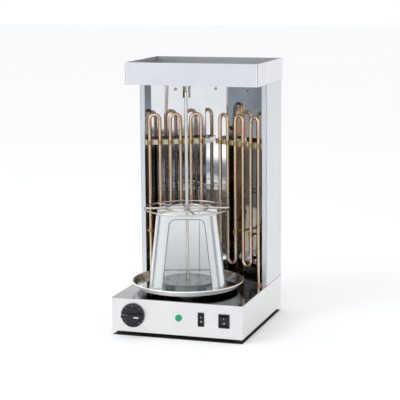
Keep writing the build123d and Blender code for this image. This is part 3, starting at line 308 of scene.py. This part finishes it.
# %% Cloudy handling marks
marks_group, start, end = group(
    "handling_marks", [("Vector", VECTOR, None), ("Size", FLOAT, 9.0)], [("Marks", FLOAT)])
cloud = marks_group.nodes.new("ShaderNodeTexNoise")
cloud.inputs["Detail"].default_value = 6.0
cloud.inputs["Roughness"].default_value = 0.62
cloud.inputs["Distortion"].default_value = 0.4
marks_group.links.new(start.outputs["Vector"], cloud.inputs["Vector"])
marks_group.links.new(start.outputs["Size"], cloud.inputs["Scale"])
soft = marks_group.nodes.new("ShaderNodeMapRange")
soft.inputs["From Min"].default_value = 0.38
soft.inputs["From Max"].default_value = 0.70
marks_group.links.new(cloud.outputs["Fac"], soft.inputs["Value"])
marks_group.links.new(soft.outputs["Result"], end.inputs["Marks"])

# %% Spun rings
rings_group, start, end = group(
    "spun_rings", [("Vector", VECTOR, None), ("Pitch", FLOAT, 2600.0)], [("Rings", FLOAT)])
flat = rings_group.nodes.new("ShaderNodeVectorMath")
flat.operation = "MULTIPLY"
flat.inputs[1].default_value = (1, 1, 0)
rings_group.links.new(start.outputs["Vector"], flat.inputs[0])
reach = rings_group.nodes.new("ShaderNodeVectorMath")
reach.operation = "LENGTH"
rings_group.links.new(flat.outputs[0], reach.inputs[0])
spread = calc(rings_group, "MULTIPLY", reach.outputs["Value"], start.outputs["Pitch"])
along = rings_group.nodes.new("ShaderNodeTexNoise")
along.noise_dimensions = "1D"
along.inputs["Detail"].default_value = 3.0
rings_group.links.new(spread, along.inputs["W"])
along.inputs["Scale"].default_value = 1.0
rings_group.links.new(along.outputs["Fac"], end.inputs["Rings"])

print("groups:", [g.name for g in bpy.data.node_groups])


# %% [markdown]
# ## Metal finishes
#
# Steel is one Principled shader with Metallic at 1. What separates a brushed panel
# from a mirror is roughness and bump: the panel scatters light along its grain, the
# mirror bends it over long shallow waves in thin sheet. One function makes both, with
# the grain direction given as a stretch of the Object coordinates.

# %% Material maker
def new_material(name):
    material = bpy.data.materials.new(name)
    material.use_nodes = True
    tree = material.node_tree
    shader = tree.nodes["Principled BSDF"]
    return material, tree, shader


def coordinates(tree, stretch=(1, 1, 1), centre=(0, 0, 0)):
    source = tree.nodes.new("ShaderNodeTexCoord")
    place = tree.nodes.new("ShaderNodeMapping")
    place.inputs["Scale"].default_value = stretch
    place.inputs["Location"].default_value = [-c * s for c, s in zip(centre, stretch)]
    tree.links.new(source.outputs["Object"], place.inputs["Vector"])
    return place.outputs["Vector"]


def use_group(tree, node_group, **values):
    node = tree.nodes.new("ShaderNodeGroup")
    node.node_tree = node_group
    for label, value in values.items():
        if isinstance(value, (int, float)):
            node.inputs[label].default_value = value
        else:
            tree.links.new(value, node.inputs[label])
    return node.outputs[0]


def blend_colour(tree, mask, first, second):
    node = tree.nodes.new("ShaderNodeMix")
    node.data_type = "RGBA"
    tree.links.new(mask, node.inputs["Factor"])
    for label, colour in (("A", first), ("B", second)):
        socket = [s for s in node.inputs if s.name == label and s.type == "RGBA"][0]
        if isinstance(colour, tuple):
            socket.default_value = (*colour, 1)
        else:
            tree.links.new(colour, socket)
    return [s for s in node.outputs if s.type == "RGBA"][0]


def paint_over(tree, mask, colour):
    """Lays a colour over what already feeds the shader's Base Color."""
    socket = tree.nodes["Principled BSDF"].inputs["Base Color"]
    under = socket.links[0].from_socket
    tree.links.new(blend_colour(tree, mask, under, colour), socket)


def blend_value(tree, mask, low, high):
    node = tree.nodes.new("ShaderNodeMapRange")
    tree.links.new(mask, node.inputs["Value"])
    node.inputs["To Min"].default_value = low
    node.inputs["To Max"].default_value = high
    return node.outputs["Result"]


def bump(tree, shader, height, strength, distance, under=None):
    node = tree.nodes.new("ShaderNodeBump")
    node.inputs["Strength"].default_value = strength
    node.inputs["Distance"].default_value = distance
    tree.links.new(height, node.inputs["Height"])
    if under is not None:
        tree.links.new(under, node.inputs["Normal"])
    tree.links.new(node.outputs["Normal"], shader.inputs["Normal"])
    return node.outputs["Normal"]


def steel(name, colour, dark, rough, stretch, waves=0.0, grain=0.1, marks_size=9.0, spun=None):
    """Sheet steel: grain or rings, cloudy marks in colour and roughness, long waves."""
    material, tree, shader = new_material(name)
    shader.inputs["Metallic"].default_value = 1.0
    plain = coordinates(tree)
    marks = use_group(tree, marks_group, Vector=plain, Size=marks_size)
    if spun:
        lines = use_group(tree, rings_group, Vector=coordinates(tree, centre=spun))
    else:
        lines = use_group(tree, grain_group, Vector=coordinates(tree, stretch))
    tree.links.new(blend_colour(tree, marks, colour, dark), shader.inputs["Base Color"])
    worn = calc(tree, "ADD", calc(tree, "MULTIPLY", marks, 0.5),
                calc(tree, "MULTIPLY", lines, 0.5))
    tree.links.new(blend_value(tree, worn, *rough), shader.inputs["Roughness"])
    under = None
    if waves:
        broad = tree.nodes.new("ShaderNodeTexNoise")
        broad.inputs["Scale"].default_value = 7.0
        broad.inputs["Detail"].default_value = 1.0
        tree.links.new(plain, broad.inputs["Vector"])
        under = bump(tree, shader, broad.outputs["Fac"], 1.0, waves)
    if grain:
        bump(tree, shader, lines, grain, 0.0002, under)
    return material


brushed_along_x = (0.02, 1.0, 1.0)
brushed_along_z = (1.0, 1.0, 0.02)
spit_x, spit_y, pan_floor_z = -0.014, -0.039, 0.0946
spit_centre = (spit_x, spit_y, 0.0)
panel_front = steel("brushed_panel_across", (0.83, 0.825, 0.83), (0.79, 0.785, 0.795),
                    (0.34, 0.46), brushed_along_x, grain=0.12)
panel_side = steel("brushed_panel_upright", (0.73, 0.755, 0.775), (0.69, 0.715, 0.74),
                   (0.34, 0.46), brushed_along_z, grain=0.12)
tray_steel = steel("brushed_tray", (0.83, 0.835, 0.875), (0.76, 0.77, 0.815),
                   (0.34, 0.46), brushed_along_x, grain=0.12)
mirror_steel = steel("mirror_steel", (0.82, 0.835, 0.85), (0.74, 0.76, 0.78),
                     (0.02, 0.07), brushed_along_z, waves=0.0016, grain=0.02)
deck_steel = steel("deck_steel", (0.34, 0.35, 0.36), (0.24, 0.25, 0.26),
                   (0.06, 0.16), brushed_along_x, waves=0.0006, grain=0.04)
pan_steel = steel("spun_pan", (0.74, 0.76, 0.76), (0.60, 0.62, 0.62), (0.08, 0.20),
                  brushed_along_x, spun=spit_centre, grain=0.06)
plate_steel = steel("dark_plate", (0.34, 0.36, 0.37), (0.25, 0.26, 0.27), (0.16, 0.30),
                    brushed_along_x, spun=spit_centre, grain=0.10)
stand_steel = steel("stand_steel", (0.79, 0.82, 0.83), (0.76, 0.79, 0.80), (0.22, 0.32),
                    brushed_along_z, grain=0.04, marks_size=4.0)
# Painted shade: a darker stand steel for the stand's rolled edges and cross wire, so that they
# show as dark lines. The lap seam takes it too, as a dark joint.
rim_steel = steel("rim_steel", (0.34, 0.36, 0.37), (0.24, 0.25, 0.26), (0.15, 0.28),
                  brushed_along_z, grain=0.03, marks_size=60.0)
rod_steel = steel("rod_steel", (0.90, 0.88, 0.83), (0.78, 0.75, 0.70), (0.26, 0.40),
                  brushed_along_z, grain=0.05, marks_size=40.0)
wire_steel = steel("wire_steel", (0.80, 0.77, 0.73), (0.62, 0.58, 0.53), (0.14, 0.28),
                   brushed_along_x, grain=0.03, marks_size=60.0)
screw_steel = steel("screw_steel", (0.62, 0.63, 0.64), (0.45, 0.46, 0.47), (0.18, 0.34),
                    brushed_along_x, grain=0.05, marks_size=160.0)
# Painted shade for the cross recesses that are not cut.
recess_shade = steel("recess_shade", (0.05, 0.05, 0.05), (0.09, 0.09, 0.09), (0.4, 0.6),
                    brushed_along_x, grain=0.02, marks_size=200.0)
turned_steel = steel("turned_steel", (0.60, 0.61, 0.62), (0.50, 0.51, 0.52), (0.15, 0.30),
                     brushed_along_x, spun=spit_centre, grain=0.12)
zinc = steel("zinc_plate", (0.64, 0.65, 0.63), (0.50, 0.52, 0.50), (0.25, 0.45),
             brushed_along_x, grain=0.05, marks_size=45.0)
clamp_steel = steel("clamp_steel", (0.92, 0.91, 0.88), (0.74, 0.68, 0.58), (0.10, 0.26),
                    brushed_along_x, grain=0.05, marks_size=90.0)
brass = steel("brass", (0.68, 0.49, 0.20), (0.40, 0.26, 0.10), (0.16, 0.34),
              brushed_along_z, grain=0.06, marks_size=120.0)
print("steels made:", len(bpy.data.materials))

# %% [markdown]
# ## Lines and shade on the sheet
#
# Folded sheet meets itself at the tray's corners and where the tower stands on the
# base. At this scale such a joint is a thin dark line. A mask made from the Object
# coordinates lays a second colour over the finish there.
#
# The same masks also paint tone as it shows in the photograph: painted shade darkens the
# tray inside and the side panels behind the heaters, a painted highlight runs beside the
# tray's front corner, the clamps get brass colour where the heater legs pass, and painted
# shade darkens round bars at their edges. They say how it looks there, and not how the
# real sheet is finished.

# %% Masks from the coordinates
def shade(material, colour, *bands):
    """Lays a colour over a finish inside the box that the bands (axis, from, to) give.
    Axis X is taken without its sign, because the grill's sheet is the same on both sides."""
    tree = material.node_tree
    axes = tree.nodes.new("ShaderNodeSeparateXYZ")
    tree.links.new(coordinates(tree), axes.inputs[0])
    inside = 1.0
    for axis, low, high in bands:
        value = axes.outputs[axis]
        if axis == "X":
            value = calc(tree, "ABSOLUTE", value)
        inside = calc(tree, "MULTIPLY", inside, calc(tree, "GREATER_THAN", value, low))
        inside = calc(tree, "MULTIPLY", inside, calc(tree, "LESS_THAN", value, high))
    paint_over(tree, inside, colour)


def darker_edge(material, colour, start, end):
    """Painted shade: blends to a darker colour where a round bar turns away from the eye."""
    tree = material.node_tree
    facing = tree.nodes.new("ShaderNodeLayerWeight")
    facing.inputs["Blend"].default_value = 0.5
    away = tree.nodes.new("ShaderNodeMapRange")
    away.inputs["From Min"].default_value = start
    away.inputs["From Max"].default_value = end
    tree.links.new(facing.outputs["Facing"], away.inputs["Value"])
    paint_over(tree, away.outputs["Result"], colour)


tray_inside = (("X", 0.0, 0.1529), ("Y", -0.0484, 0.1594), ("Z", 0.5427, 0.5912))
tray_front = (("Y", -0.060, -0.0484), ("Z", 0.53, 0.60))
panel_skin = ("X", 0.1490, 0.20)
leg_x, leg_pitch_x, leg_count = 0.0229, 0.02131, 6
clip_half = 0.0062

# Painted shade along the edges of the spit rod and fork, and of the skewer ring.
darker_edge(rod_steel, (0.26, 0.27, 0.25), 0.22, 0.60)
darker_edge(wire_steel, (0.24, 0.22, 0.19), 0.30, 0.70)
# Painted shade inside the tray.
shade(tray_steel, (0.52, 0.535, 0.54), *tray_inside)
# At the tray's front corner a dark joint line, and beside it a painted highlight.
shade(tray_steel, (0.16, 0.17, 0.18), ("X", 0.1516, 0.1523), *tray_front)
shade(tray_steel, (0.97, 0.97, 0.98), ("X", 0.1490, 0.1516), *tray_front)
shade(panel_side, (0.14, 0.15, 0.16), panel_skin, ("Z", 0.5404, 0.5425))
shade(panel_side, (0.25, 0.26, 0.27), panel_skin, ("Z", 0.080, 0.0853))
shade(panel_side, (0.30, 0.31, 0.32), ("X", 0.1484, 0.1492), ("Y", 0.0, 0.0352))
# Painted shade on the side panels' inner faces behind the heaters.
shade(panel_side, (0.10, 0.09, 0.08), ("X", 0.100, 0.1394), ("Z", 0.080, 0.43))
for leg in range(leg_count):
    spot = leg_x + leg * leg_pitch_x
    shade(clamp_steel, (0.50, 0.33, 0.13), ("X", spot - clip_half, spot + clip_half))
print("shaded:", tray_steel.name, panel_side.name)

# %% [markdown]
# ## Inside and outside of the turning parts
#
# In the photograph the stand's inside is pale and even, and the pan's outer wall is
# brighter than its floor. We read the first as a satin inside, which is partly painted
# light: its near white colour lifts it out of the shade inside the stand. The second is
# painted light alone, lifted to match. Inside and outside belong to one thin sheet, so
# the shader tells them apart: it compares the way the surface looks with the way out
# from the turning axis.

# %% Way out from the axis
def way_out(tree):
    """How far the surface looks away from the turning axis, scaled by the distance."""
    source = tree.nodes.new("ShaderNodeTexCoord")
    from_axis = tree.nodes.new("ShaderNodeMapping")
    from_axis.inputs["Location"].default_value = (-spit_x, -spit_y, 0)
    from_axis.inputs["Scale"].default_value = (1, 1, 0)
    tree.links.new(source.outputs["Object"], from_axis.inputs["Vector"])
    along = tree.nodes.new("ShaderNodeVectorMath")
    along.operation = "DOT_PRODUCT"
    tree.links.new(source.outputs["Normal"], along.inputs[0])
    tree.links.new(from_axis.outputs["Vector"], along.inputs[1])
    return along.outputs["Value"]


# Painted light: the stand's inside and the pan's outer wall get paler colours than the sheet.
for finish, test, edge, colour, metal in (
        (stand_steel, "LESS_THAN", -0.002, (0.96, 0.985, 1.0), 0.12),
        (pan_steel, "GREATER_THAN", 0.02, (0.95, 0.95, 0.94), 0.45)):
    tree = finish.node_tree
    mask = calc(tree, test, way_out(tree), edge)
    paint_over(tree, mask, colour)
    tree.links.new(blend_value(tree, mask, 1.0, metal),
                   tree.nodes["Principled BSDF"].inputs["Metallic"])
print("two-sided finishes:", stand_steel.name, pan_steel.name)

# %% [markdown]
# ## Darker wings behind the heaters
#
# Below the support bars the photograph shows the left wing partly grey blue and the
# right one dark brown, most likely because they mirror a dark room. The tint here is a
# painted reflection that stands in for that, and no sign of a tinted sheet. Measured
# against the photograph it brings the right wing nearer, but makes the left one too dark
# between the bars and the ring. It fades in over 18 mm and noise breaks it up. A near
# black strip of painted shade runs down the outer edge of each wing below the bars.

# %% Painted reflection and shade on the wings
bar_z, tint_full_z = 0.402, 0.384
fold_x, wing_rim_x = 0.0262, 0.1275
tree = mirror_steel.node_tree
axes = tree.nodes.new("ShaderNodeSeparateXYZ")
tree.links.new(coordinates(tree), axes.inputs[0])
below = tree.nodes.new("ShaderNodeMapRange")
below.inputs["From Min"].default_value = bar_z
below.inputs["From Max"].default_value = tint_full_z
tree.links.new(axes.outputs["Z"], below.inputs["Value"])
cloud = use_group(tree, marks_group, Vector=coordinates(tree, (1, 1, 0.35)), Size=22.0)
strength = calc(tree, "MULTIPLY", below.outputs["Result"],
                calc(tree, "ADD", 0.72, calc(tree, "MULTIPLY", cloud, 0.28)))
for colour, operation, edge in (((0.44, 0.50, 0.58), "LESS_THAN", -fold_x),
                                ((0.20, 0.17, 0.14), "GREATER_THAN", fold_x)):
    wing = calc(tree, "MULTIPLY", strength, calc(tree, operation, axes.outputs["X"], edge))
    paint_over(tree, wing, colour)
# Painted shade: a near black strip along each wing's outer edge, below the bars.
rim = calc(tree, "GREATER_THAN", calc(tree, "ABSOLUTE", axes.outputs["X"]), wing_rim_x)
paint_over(tree, calc(tree, "MULTIPLY", rim, below.outputs["Result"]), (0.07, 0.065, 0.06))
print("tinted:", mirror_steel.name)

# %% [markdown]
# ## Heater tubes
#
# The photograph shows the tubes bronze, with a pale line along the middle and dark
# edges, and yellower just above the deck, which we take for their cold ends. Height above
# the floor drives that change, and a little noise breaks up the bronze. Layer Weight
# gives the dark edges, which are painted shade.

# %% Heater finish
heater_tint, tree, shader = new_material("heater_tint")
shader.inputs["Metallic"].default_value = 1.0
plain = coordinates(tree)
axes = tree.nodes.new("ShaderNodeSeparateXYZ")
tree.links.new(plain, axes.inputs[0])
stain = use_group(tree, marks_group, Vector=coordinates(tree, (1, 1, 0.25)), Size=70.0)
warm = blend_colour(tree, stain, (0.94, 0.72, 0.52), (0.78, 0.50, 0.28))
hot = tree.nodes.new("ShaderNodeMapRange")
hot.inputs["From Min"].default_value = 0.100
hot.inputs["From Max"].default_value = 0.150
tree.links.new(axes.outputs["Z"], hot.inputs["Value"])
cold_to_hot = blend_colour(tree, hot.outputs["Result"], (0.86, 0.76, 0.56), warm)
tree.links.new(cold_to_hot, shader.inputs["Base Color"])
# Painted shade on the tubes' edges.
darker_edge(heater_tint, (0.20, 0.11, 0.05), 0.18, 0.62)
tree.links.new(blend_value(tree, stain, 0.20, 0.34), shader.inputs["Roughness"])
bump(tree, shader, stain, 0.15, 0.0003)


# %% [markdown]
# ## Plastics, rubber and the rest
#
# Moulded plastic is smooth but never perfect: its gloss varies a little and its skin
# has a fine texture. One function gives each of them a base colour, a gloss range and
# a grain size.

# %% Plastic maker
def moulded(name, colour, second, rough, fineness, strength):
    material, tree, shader = new_material(name)
    plain = coordinates(tree)
    marks = use_group(tree, marks_group, Vector=plain, Size=40.0)
    skin = use_group(tree, grain_group, Vector=plain, Fineness=fineness)
    tree.links.new(blend_colour(tree, marks, colour, second), shader.inputs["Base Color"])
    tree.links.new(blend_value(tree, marks, *rough), shader.inputs["Roughness"])
    bump(tree, shader, skin, strength, 0.0002)
    return material, tree, shader


black_gloss = moulded("black_plastic", (0.012, 0.013, 0.016), (0.02, 0.021, 0.025),
                      (0.16, 0.28), 2500.0, 0.05)[0]
rocker_black = moulded("rocker_black", (0.010, 0.013, 0.022), (0.016, 0.02, 0.03),
                       (0.20, 0.32), 2500.0, 0.05)[0]
rubber = moulded("rubber", (0.018, 0.018, 0.018), (0.035, 0.034, 0.033), (0.6, 0.85),
                 1400.0, 0.3)[0]
lamp_white = moulded("lamp_body", (0.72, 0.72, 0.69), (0.66, 0.66, 0.62), (0.35, 0.5),
                     1500.0, 0.1)[0]
phenolic = moulded("phenolic", (0.075, 0.045, 0.03), (0.11, 0.07, 0.05), (0.35, 0.5),
                   900.0, 0.25)[0]
ceramic = moulded("ceramic", (0.82, 0.80, 0.75), (0.74, 0.72, 0.66), (0.45, 0.65),
                  800.0, 0.2)[0]
motor_paint = moulded("motor_paint", (0.10, 0.11, 0.12), (0.15, 0.16, 0.17), (0.35, 0.5),
                      600.0, 0.25)[0]
lead_skin = moulded("lead_insulation", (0.50, 0.46, 0.40), (0.42, 0.38, 0.33), (0.5, 0.7),
                    1800.0, 0.2)[0]
mark_white = moulded("mark_white", (0.82, 0.83, 0.83), (0.72, 0.73, 0.73), (0.4, 0.5),
                     2000.0, 0.05)[0]
green_lens, tree, shader = moulded("green_lens", (0.0, 0.37, 0.16), (0.0, 0.30, 0.13),
                                   (0.10, 0.18), 900.0, 0.05)
shader.inputs["Specular IOR Level"].default_value = 0.25
bulb_glass, tree, shader = moulded("bulb_glass", (0.9, 0.9, 0.9), (0.85, 0.86, 0.86),
                                   (0.03, 0.08), 900.0, 0.02)
shader.inputs["Transmission Weight"].default_value = 0.9
for plastic in (black_gloss, rocker_black):
    plastic.node_tree.nodes["Principled BSDF"].inputs["Specular IOR Level"].default_value = 0.3
print("finishes made:", len(bpy.data.materials))

# %% [markdown]
# ## Finishes onto the CAD nodes
#
# A CAD node keeps its mesh, so only its material slot changes. The table below names
# the finish of each node once.

# %% Dress the CAD nodes
finish_of = {
    panel_front: ["base_shell", "base_rear_panel", "rear_cover", "base_bottom_cover"],
    tray_steel: ["top_tray"],
    panel_side: ["left_side_panel", "right_side_panel"],
    mirror_steel: ["reflector_centre", "reflector_left", "reflector_right"],
    deck_steel: ["base_deck"],
    pan_steel: ["drip_pan"],
    plate_steel: ["centre_plate"],
    stand_steel: ["stand_shell"],
    wire_steel: ["skewer_ring"],
    # Painted shade: the cross wire takes the dark rim steel.
    rim_steel: ["stand_cross_wire"],
    rod_steel: ["spit_rod", "spit_fork"],
    clamp_steel: ["heater_saddles", "heater_bar_left", "heater_bar_right"],
    heater_tint: ["heater_left", "heater_right"],
    brass: ["heater_fittings", "heater_nuts", "heater_standoffs",
            "deck_bearing", "heater_studs"],
    screw_steel: ["bottom_cover_screws", "rear_screws", "tray_studs", "reflector_screws",
                  "motor_screws", "foot_screws", "regulator_screws", "terminal_screws",
                  "hub_cross_pin"],
    turned_steel: ["turntable_hub", "drive_shaft", "regulator_shaft"],
    black_gloss: ["control_knob", "large_switch_housing", "small_switch_housing",
                  "cable_gland", "gland_locknut"],
    rocker_black: ["large_rocker", "small_rocker"],
    rubber: ["rubber_feet"],
    green_lens: ["lamp_lens"],
    lamp_white: ["lamp_body"],
    bulb_glass: ["lamp_bulb"],
    ceramic: ["heater_insulators"],
    motor_paint: ["gearbox", "motor_can"],
    zinc: ["motor_bracket"],
    phenolic: ["regulator_body", "terminal_block"],
    lead_skin: ["heater_leads", "motor_leads", "control_leads"],
}
dressed = set()
for finish, names in finish_of.items():
    for node_name in names:
        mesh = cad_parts[node_name].data
        mesh.materials.clear()
        mesh.materials.append(finish)
        dressed.add(node_name)
print("nodes without a finish:", sorted(set(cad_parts) - dressed))

# %% [markdown]
# ## The knob
#
# Hands and eyes meet the knob first, so it gets a dial. The skirt is turned from a
# profile with a raised lip, which catches the light as a thin ring. The grip starts as
# a circle pulled apart into a slot, then is extruded, tapered and bevelled as a mould
# would need. The photograph shows white marks on a dark round dial, but they can't be
# read and the shape isn't settled, so the bar grip and the scale of 0 to 6 are our own.
# Ticks and figures are thin solid pieces: the ticks end 0.3 mm above the skirt's face,
# and the backs of the figures lie about 0.1 mm off it.

# %% Knob
knob_place = (-0.1005, -0.161, 0.047)
dial = Matrix.Translation(knob_place) @ Matrix.Rotation(radians(90), 4, "X")
skirt = turned([(0, 0), (0.0262, 0), (0.0265, 0.0004), (0.0265, 0.0036), (0.0259, 0.0047),
                (0.0251, 0.0050), (0.0246, 0.0046), (0.0244, 0.0041), (0.0196, 0.0043),
                (0.0190, 0.0050), (0.0182, 0.0092), (0.0174, 0.0100), (0, 0.0100)], dial, 96)
knob_skirt = finish_piece(skirt, "knob_skirt", "knob", black_gloss)
grip = bmesh.new()
bmesh.ops.create_circle(grip, cap_ends=True, segments=48, radius=0.0063)
for vert in grip.verts:
    if abs(vert.co.x) > 1e-5:
        vert.co.x += 0.0166 if vert.co.x > 0 else -0.0166
top = bmesh.ops.extrude_face_region(grip, geom=grip.faces[:])["geom"]
raised = [v for v in top if isinstance(v, bmesh.types.BMVert)]
bmesh.ops.scale(grip, vec=(0.93, 0.62, 1), verts=raised)
bmesh.ops.translate(grip, vec=(0, 0, 0.0115), verts=raised)
crest = [e for e in grip.edges if all(v in raised for v in e.verts)]
bmesh.ops.bevel(grip, geom=crest, offset=0.0012, segments=3, profile=0.5,
                affect="EDGES", material=-1)
bmesh.ops.transform(grip, matrix=dial @ Matrix.Translation((0, 0, 0.0092)), verts=grip.verts)
finish_piece(grip, "knob_grip", "knob", black_gloss)
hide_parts("control_knob")

# %% Ticks, numbers and pointer
ticks = bmesh.new()
for step in range(13):
    around = Matrix.Rotation(radians(135 - step * 22.5), 4, "Z")
    add_bar(ticks, (0.0005, 0.0016, 0.0003),
            dial @ around @ Matrix.Translation((0, 0.0236, 0.0043)))
finish_piece(ticks, "knob_ticks", "knob", mark_white)
pointer = bmesh.new()
add_bar(pointer, (0.0110, 0.0026, 0.0008), dial @ Matrix.Translation((0.0148, 0, 0.0205)))
finish_piece(pointer, "knob_pointer", "knob", mark_white)


def number(text, name, place, body, size):
    """Flat figure with a hair of thickness, made a mesh in its place."""
    words = bpy.data.curves.new(name, "FONT")
    words.body = text
    words.size = size
    words.extrude = 0.00008
    words.align_x, words.align_y = "CENTER", "CENTER"
    words.resolution_u = 3
    draft = bpy.data.objects.new(name + "_draft", words)
    bm = bmesh.new()
    bm.from_mesh(bpy.data.meshes.new_from_object(draft))
    bpy.data.objects.remove(draft)
    bmesh.ops.transform(bm, matrix=place, verts=bm.verts)
    return finish_piece(bm, name, body, mark_white)


for figure, angle in ((0, 135), (2, 45), (3, 0), (4, -45), (6, -135)):
    around = Matrix.Rotation(radians(angle), 4, "Z") @ Matrix.Translation((0, 0.0212, 0.0044))
    upright = Matrix.Rotation(radians(-angle), 4, "Z")
    number(str(figure), f"knob_number_{figure}", dial @ around @ upright, "knob", 0.0034)

# %% [markdown]
# ## Marks on the rockers
#
# Each rocker carries a stroke above and a ring below, the plain signs for on and off.
# Its face is hollow and tilted, so a ray from the front finds the exact point and slope
# of the face, and the mark is turned to lie flat there.

# %% Rocker marks
for label, x in (("small", 0.0563), ("large", 0.1082)):
    face = bmesh.new()
    face.from_mesh(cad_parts[f"{label}_rocker"].data)
    finder = BVHTree.FromBMesh(face)
    face.free()
    for sign, z in (("stroke", 0.0533), ("ring", 0.0427)):
        place, normal = finder.ray_cast(Vector((x, -0.5, z)), Vector((0, 1, 0)))[:2]
        flat = Matrix.Translation(place) @ normal.to_track_quat("Z", "Y").to_matrix().to_4x4()
        if sign == "stroke":
            mark = bmesh.new()
            add_bar(mark, (0.0007, 0.0034, 0.0002), flat)
        else:
            mark = turned([(0.0011, 0), (0.0011, 0.0001), (0.0017, 0.0001), (0.0017, 0),
                           (0.0011, 0)], flat, 28)
        finish_piece(mark, f"{label}_rocker_{sign}", f"{label}_rocker_lever", mark_white)
print("rocker marks placed")

# %% [markdown]
# ## Screw crosses
#
# The screws are small discs in the CAD model. A thin dark cross laid on each head makes
# them read as screws, and nothing is cut: the cross's dark colour is painted shade that
# stands for the shade in a cut recess. The head's outer face is found from its points:
# they are the ones that reach furthest along the direction in which the screw looks.

# %% Screw crosses
wing_out = Vector((0.4525, -0.8918, 0))
for node, looks in (("reflector_screws", None), ("rear_screws", Vector((0, 1, 0))),
                    ("bottom_cover_screws", Vector((0, 0, -1))),
                    ("foot_screws", Vector((0, 0, -1)))):
    crosses = bmesh.new()
    for points in loose_solids(node):
        middle = sum(points, Vector()) / len(points)
        out = looks
        if looks is None:
            out = Vector((0, -1, 0))
            if abs(middle.x) > 0.05:
                out = Vector((-wing_out.x if middle.x > 0 else wing_out.x, wing_out.y, 0))
        reach = max(p.dot(out) for p in points)
        rim = [p for p in points if p.dot(out) > reach - 1e-4]
        head = sum(rim, Vector()) / len(rim)
        turn = out.to_track_quat("Z", "Y").to_matrix().to_4x4()
        slant = Matrix.Rotation(middle.z * 40 + middle.x * 17, 4, "Z")
        for quarter in (0, 90):
            add_bar(crosses, (0.0007, 0.0036, 0.00012), Matrix.Translation(head) @ turn @ slant
                    @ Matrix.Rotation(radians(quarter), 4, "Z"))
    finish_piece(crosses, f"{node}_crosses", "housing", recess_shade)
print("crosses laid on four sets of screws")

# %% [markdown]
# ## Rolled edges of the stand
#
# Thin dark lines follow the stand's portals in the photograph. We read them as rolled
# edges. Each is a thin tube along the portal: up one leg, round the head and down the
# other. The wall leans in, so a point at height h lies at half the width there. A
# narrow strip inside the rear wall stands for the upright line seen through the portal.
# We read that as the lap of the bent sheet, but it may be the rod mirrored in it. The
# reading isn't certain: in the photograph the rod passes in front of the portal's upper
# line, and here the front wall hides it there.

# %% Portal edges
stand_turned = radians(18)
stand_half, stand_lean = 0.0850, 0.1075
portal_foot, portal_head = (0.0550, 0.0090), (0.0378, 0.1604)
portal_corner, corner_steps = 0.014, 8
edge_inset, edge_radius = 0.0005, 0.0011
seam_size, seam_tilt = (0.0011, 0.0004, 0.150), -0.1071
seam_x, seam_z, seam_inset = -0.0270, 0.084, 0.0011


def wall_axes(turn):
    """Directions across one wall of the stand and out from it."""
    return Vector((cos(turn), sin(turn), 0)), Vector((sin(turn), -cos(turn), 0))


def on_wall(turn, reach, height, inset):
    """Point on the leaning wall at that reach and height, set in from its face."""
    across, outward = wall_axes(turn)
    return (Vector((spit_x, spit_y, pan_floor_z + height)) + across * reach
            + outward * (stand_half - stand_lean * height - inset))


def portal_line(quarter):
    """Points along one portal's edge, with its two corners rounded."""
    corners = [(-portal_foot[0], portal_foot[1]), (-portal_head[0], portal_head[1]),
               portal_head, portal_foot]
    flat_line = [Vector(corners[0])]
    for before, corner, after in zip(corners, corners[1:], corners[2:]):
        corner = Vector(corner)
        back = corner + (Vector(before) - corner).normalized() * portal_corner
        ahead = corner + (Vector(after) - corner).normalized() * portal_corner
        for step in range(corner_steps + 1):
            t = step / corner_steps
            flat_line.append(back * (1 - t) ** 2 + corner * 2 * t * (1 - t) + ahead * t ** 2)
    flat_line.append(Vector(corners[3]))
    turn = stand_turned + radians(90) * quarter
    return [on_wall(turn, reach, height, edge_inset) for reach, height in flat_line]


for quarter, label in ((0, "front"), (1, "right"), (3, "left")):
    line = portal_line(quarter)
    edge = bpy.data.curves.new(f"stand_edge_{label}", "CURVE")
    edge.dimensions = "3D"
    spline = edge.splines.new("POLY")
    spline.points.add(len(line) - 1)
    for point, place in zip(spline.points, line):
        point.co = (*place, 1)
    edge.bevel_depth = edge_radius
    edge.bevel_resolution = 2
    edge.use_fill_caps = True
    draft = bpy.data.objects.new("draft", edge)
    bm = bmesh.new()
    bm.from_mesh(bpy.data.meshes.new_from_object(draft))
    bpy.data.objects.remove(draft)
    # Painted shade: the dark rim steel makes the rolled edges show as dark lines.
    finish_piece(bm, f"stand_edge_{label}", "turntable", rim_steel, 60)
print("portal edges:", 3)

# %% Lap seam
seam = bmesh.new()
rear = stand_turned + pi
upright = Matrix.Rotation(seam_tilt, 4, wall_axes(rear)[0]) @ Matrix.Rotation(rear, 4, "Z")
add_bar(seam, seam_size,
        Matrix.Translation(on_wall(rear, seam_x, seam_z, seam_inset)) @ upright)
finish_piece(seam, "stand_lap_seam", "turntable", rim_steel)
print("lap seam on the rear wall")

# %% [markdown]
# ## Floor
#
# The floor is a wide pale sheet. It is part of the studio and not of the grill. The gap
# under the base is almost black in the photograph. Our soft light leaves it pale grey, so
# the floor's material has a near black painted shadow there.

# %% Floor
floor_material, tree, shader = new_material("pale_floor")
tone = use_group(tree, marks_group, Vector=coordinates(tree), Size=0.8)
tree.links.new(blend_colour(tree, tone, (0.97, 0.97, 0.97), (0.96, 0.96, 0.96)),
               shader.inputs["Base Color"])
shader.inputs["Roughness"].default_value = 0.9
# Painted shadow: a near black patch on the floor under the base.
shade(floor_material, (0.03, 0.03, 0.03), ("X", -1.0, 0.149), ("Y", -0.159, 0.159),
      ("Z", -1.0, 1.0))
bm = bmesh.new()
bmesh.ops.create_grid(bm, x_segments=2, y_segments=2, size=14.0)
floor_mesh = bpy.data.meshes.new("floor")
bm.to_mesh(floor_mesh)
bm.free()
floor_mesh.materials.append(floor_material)
floor = bpy.data.objects.new("floor", floor_mesh)
bpy.context.scene.collection.objects.link(floor)
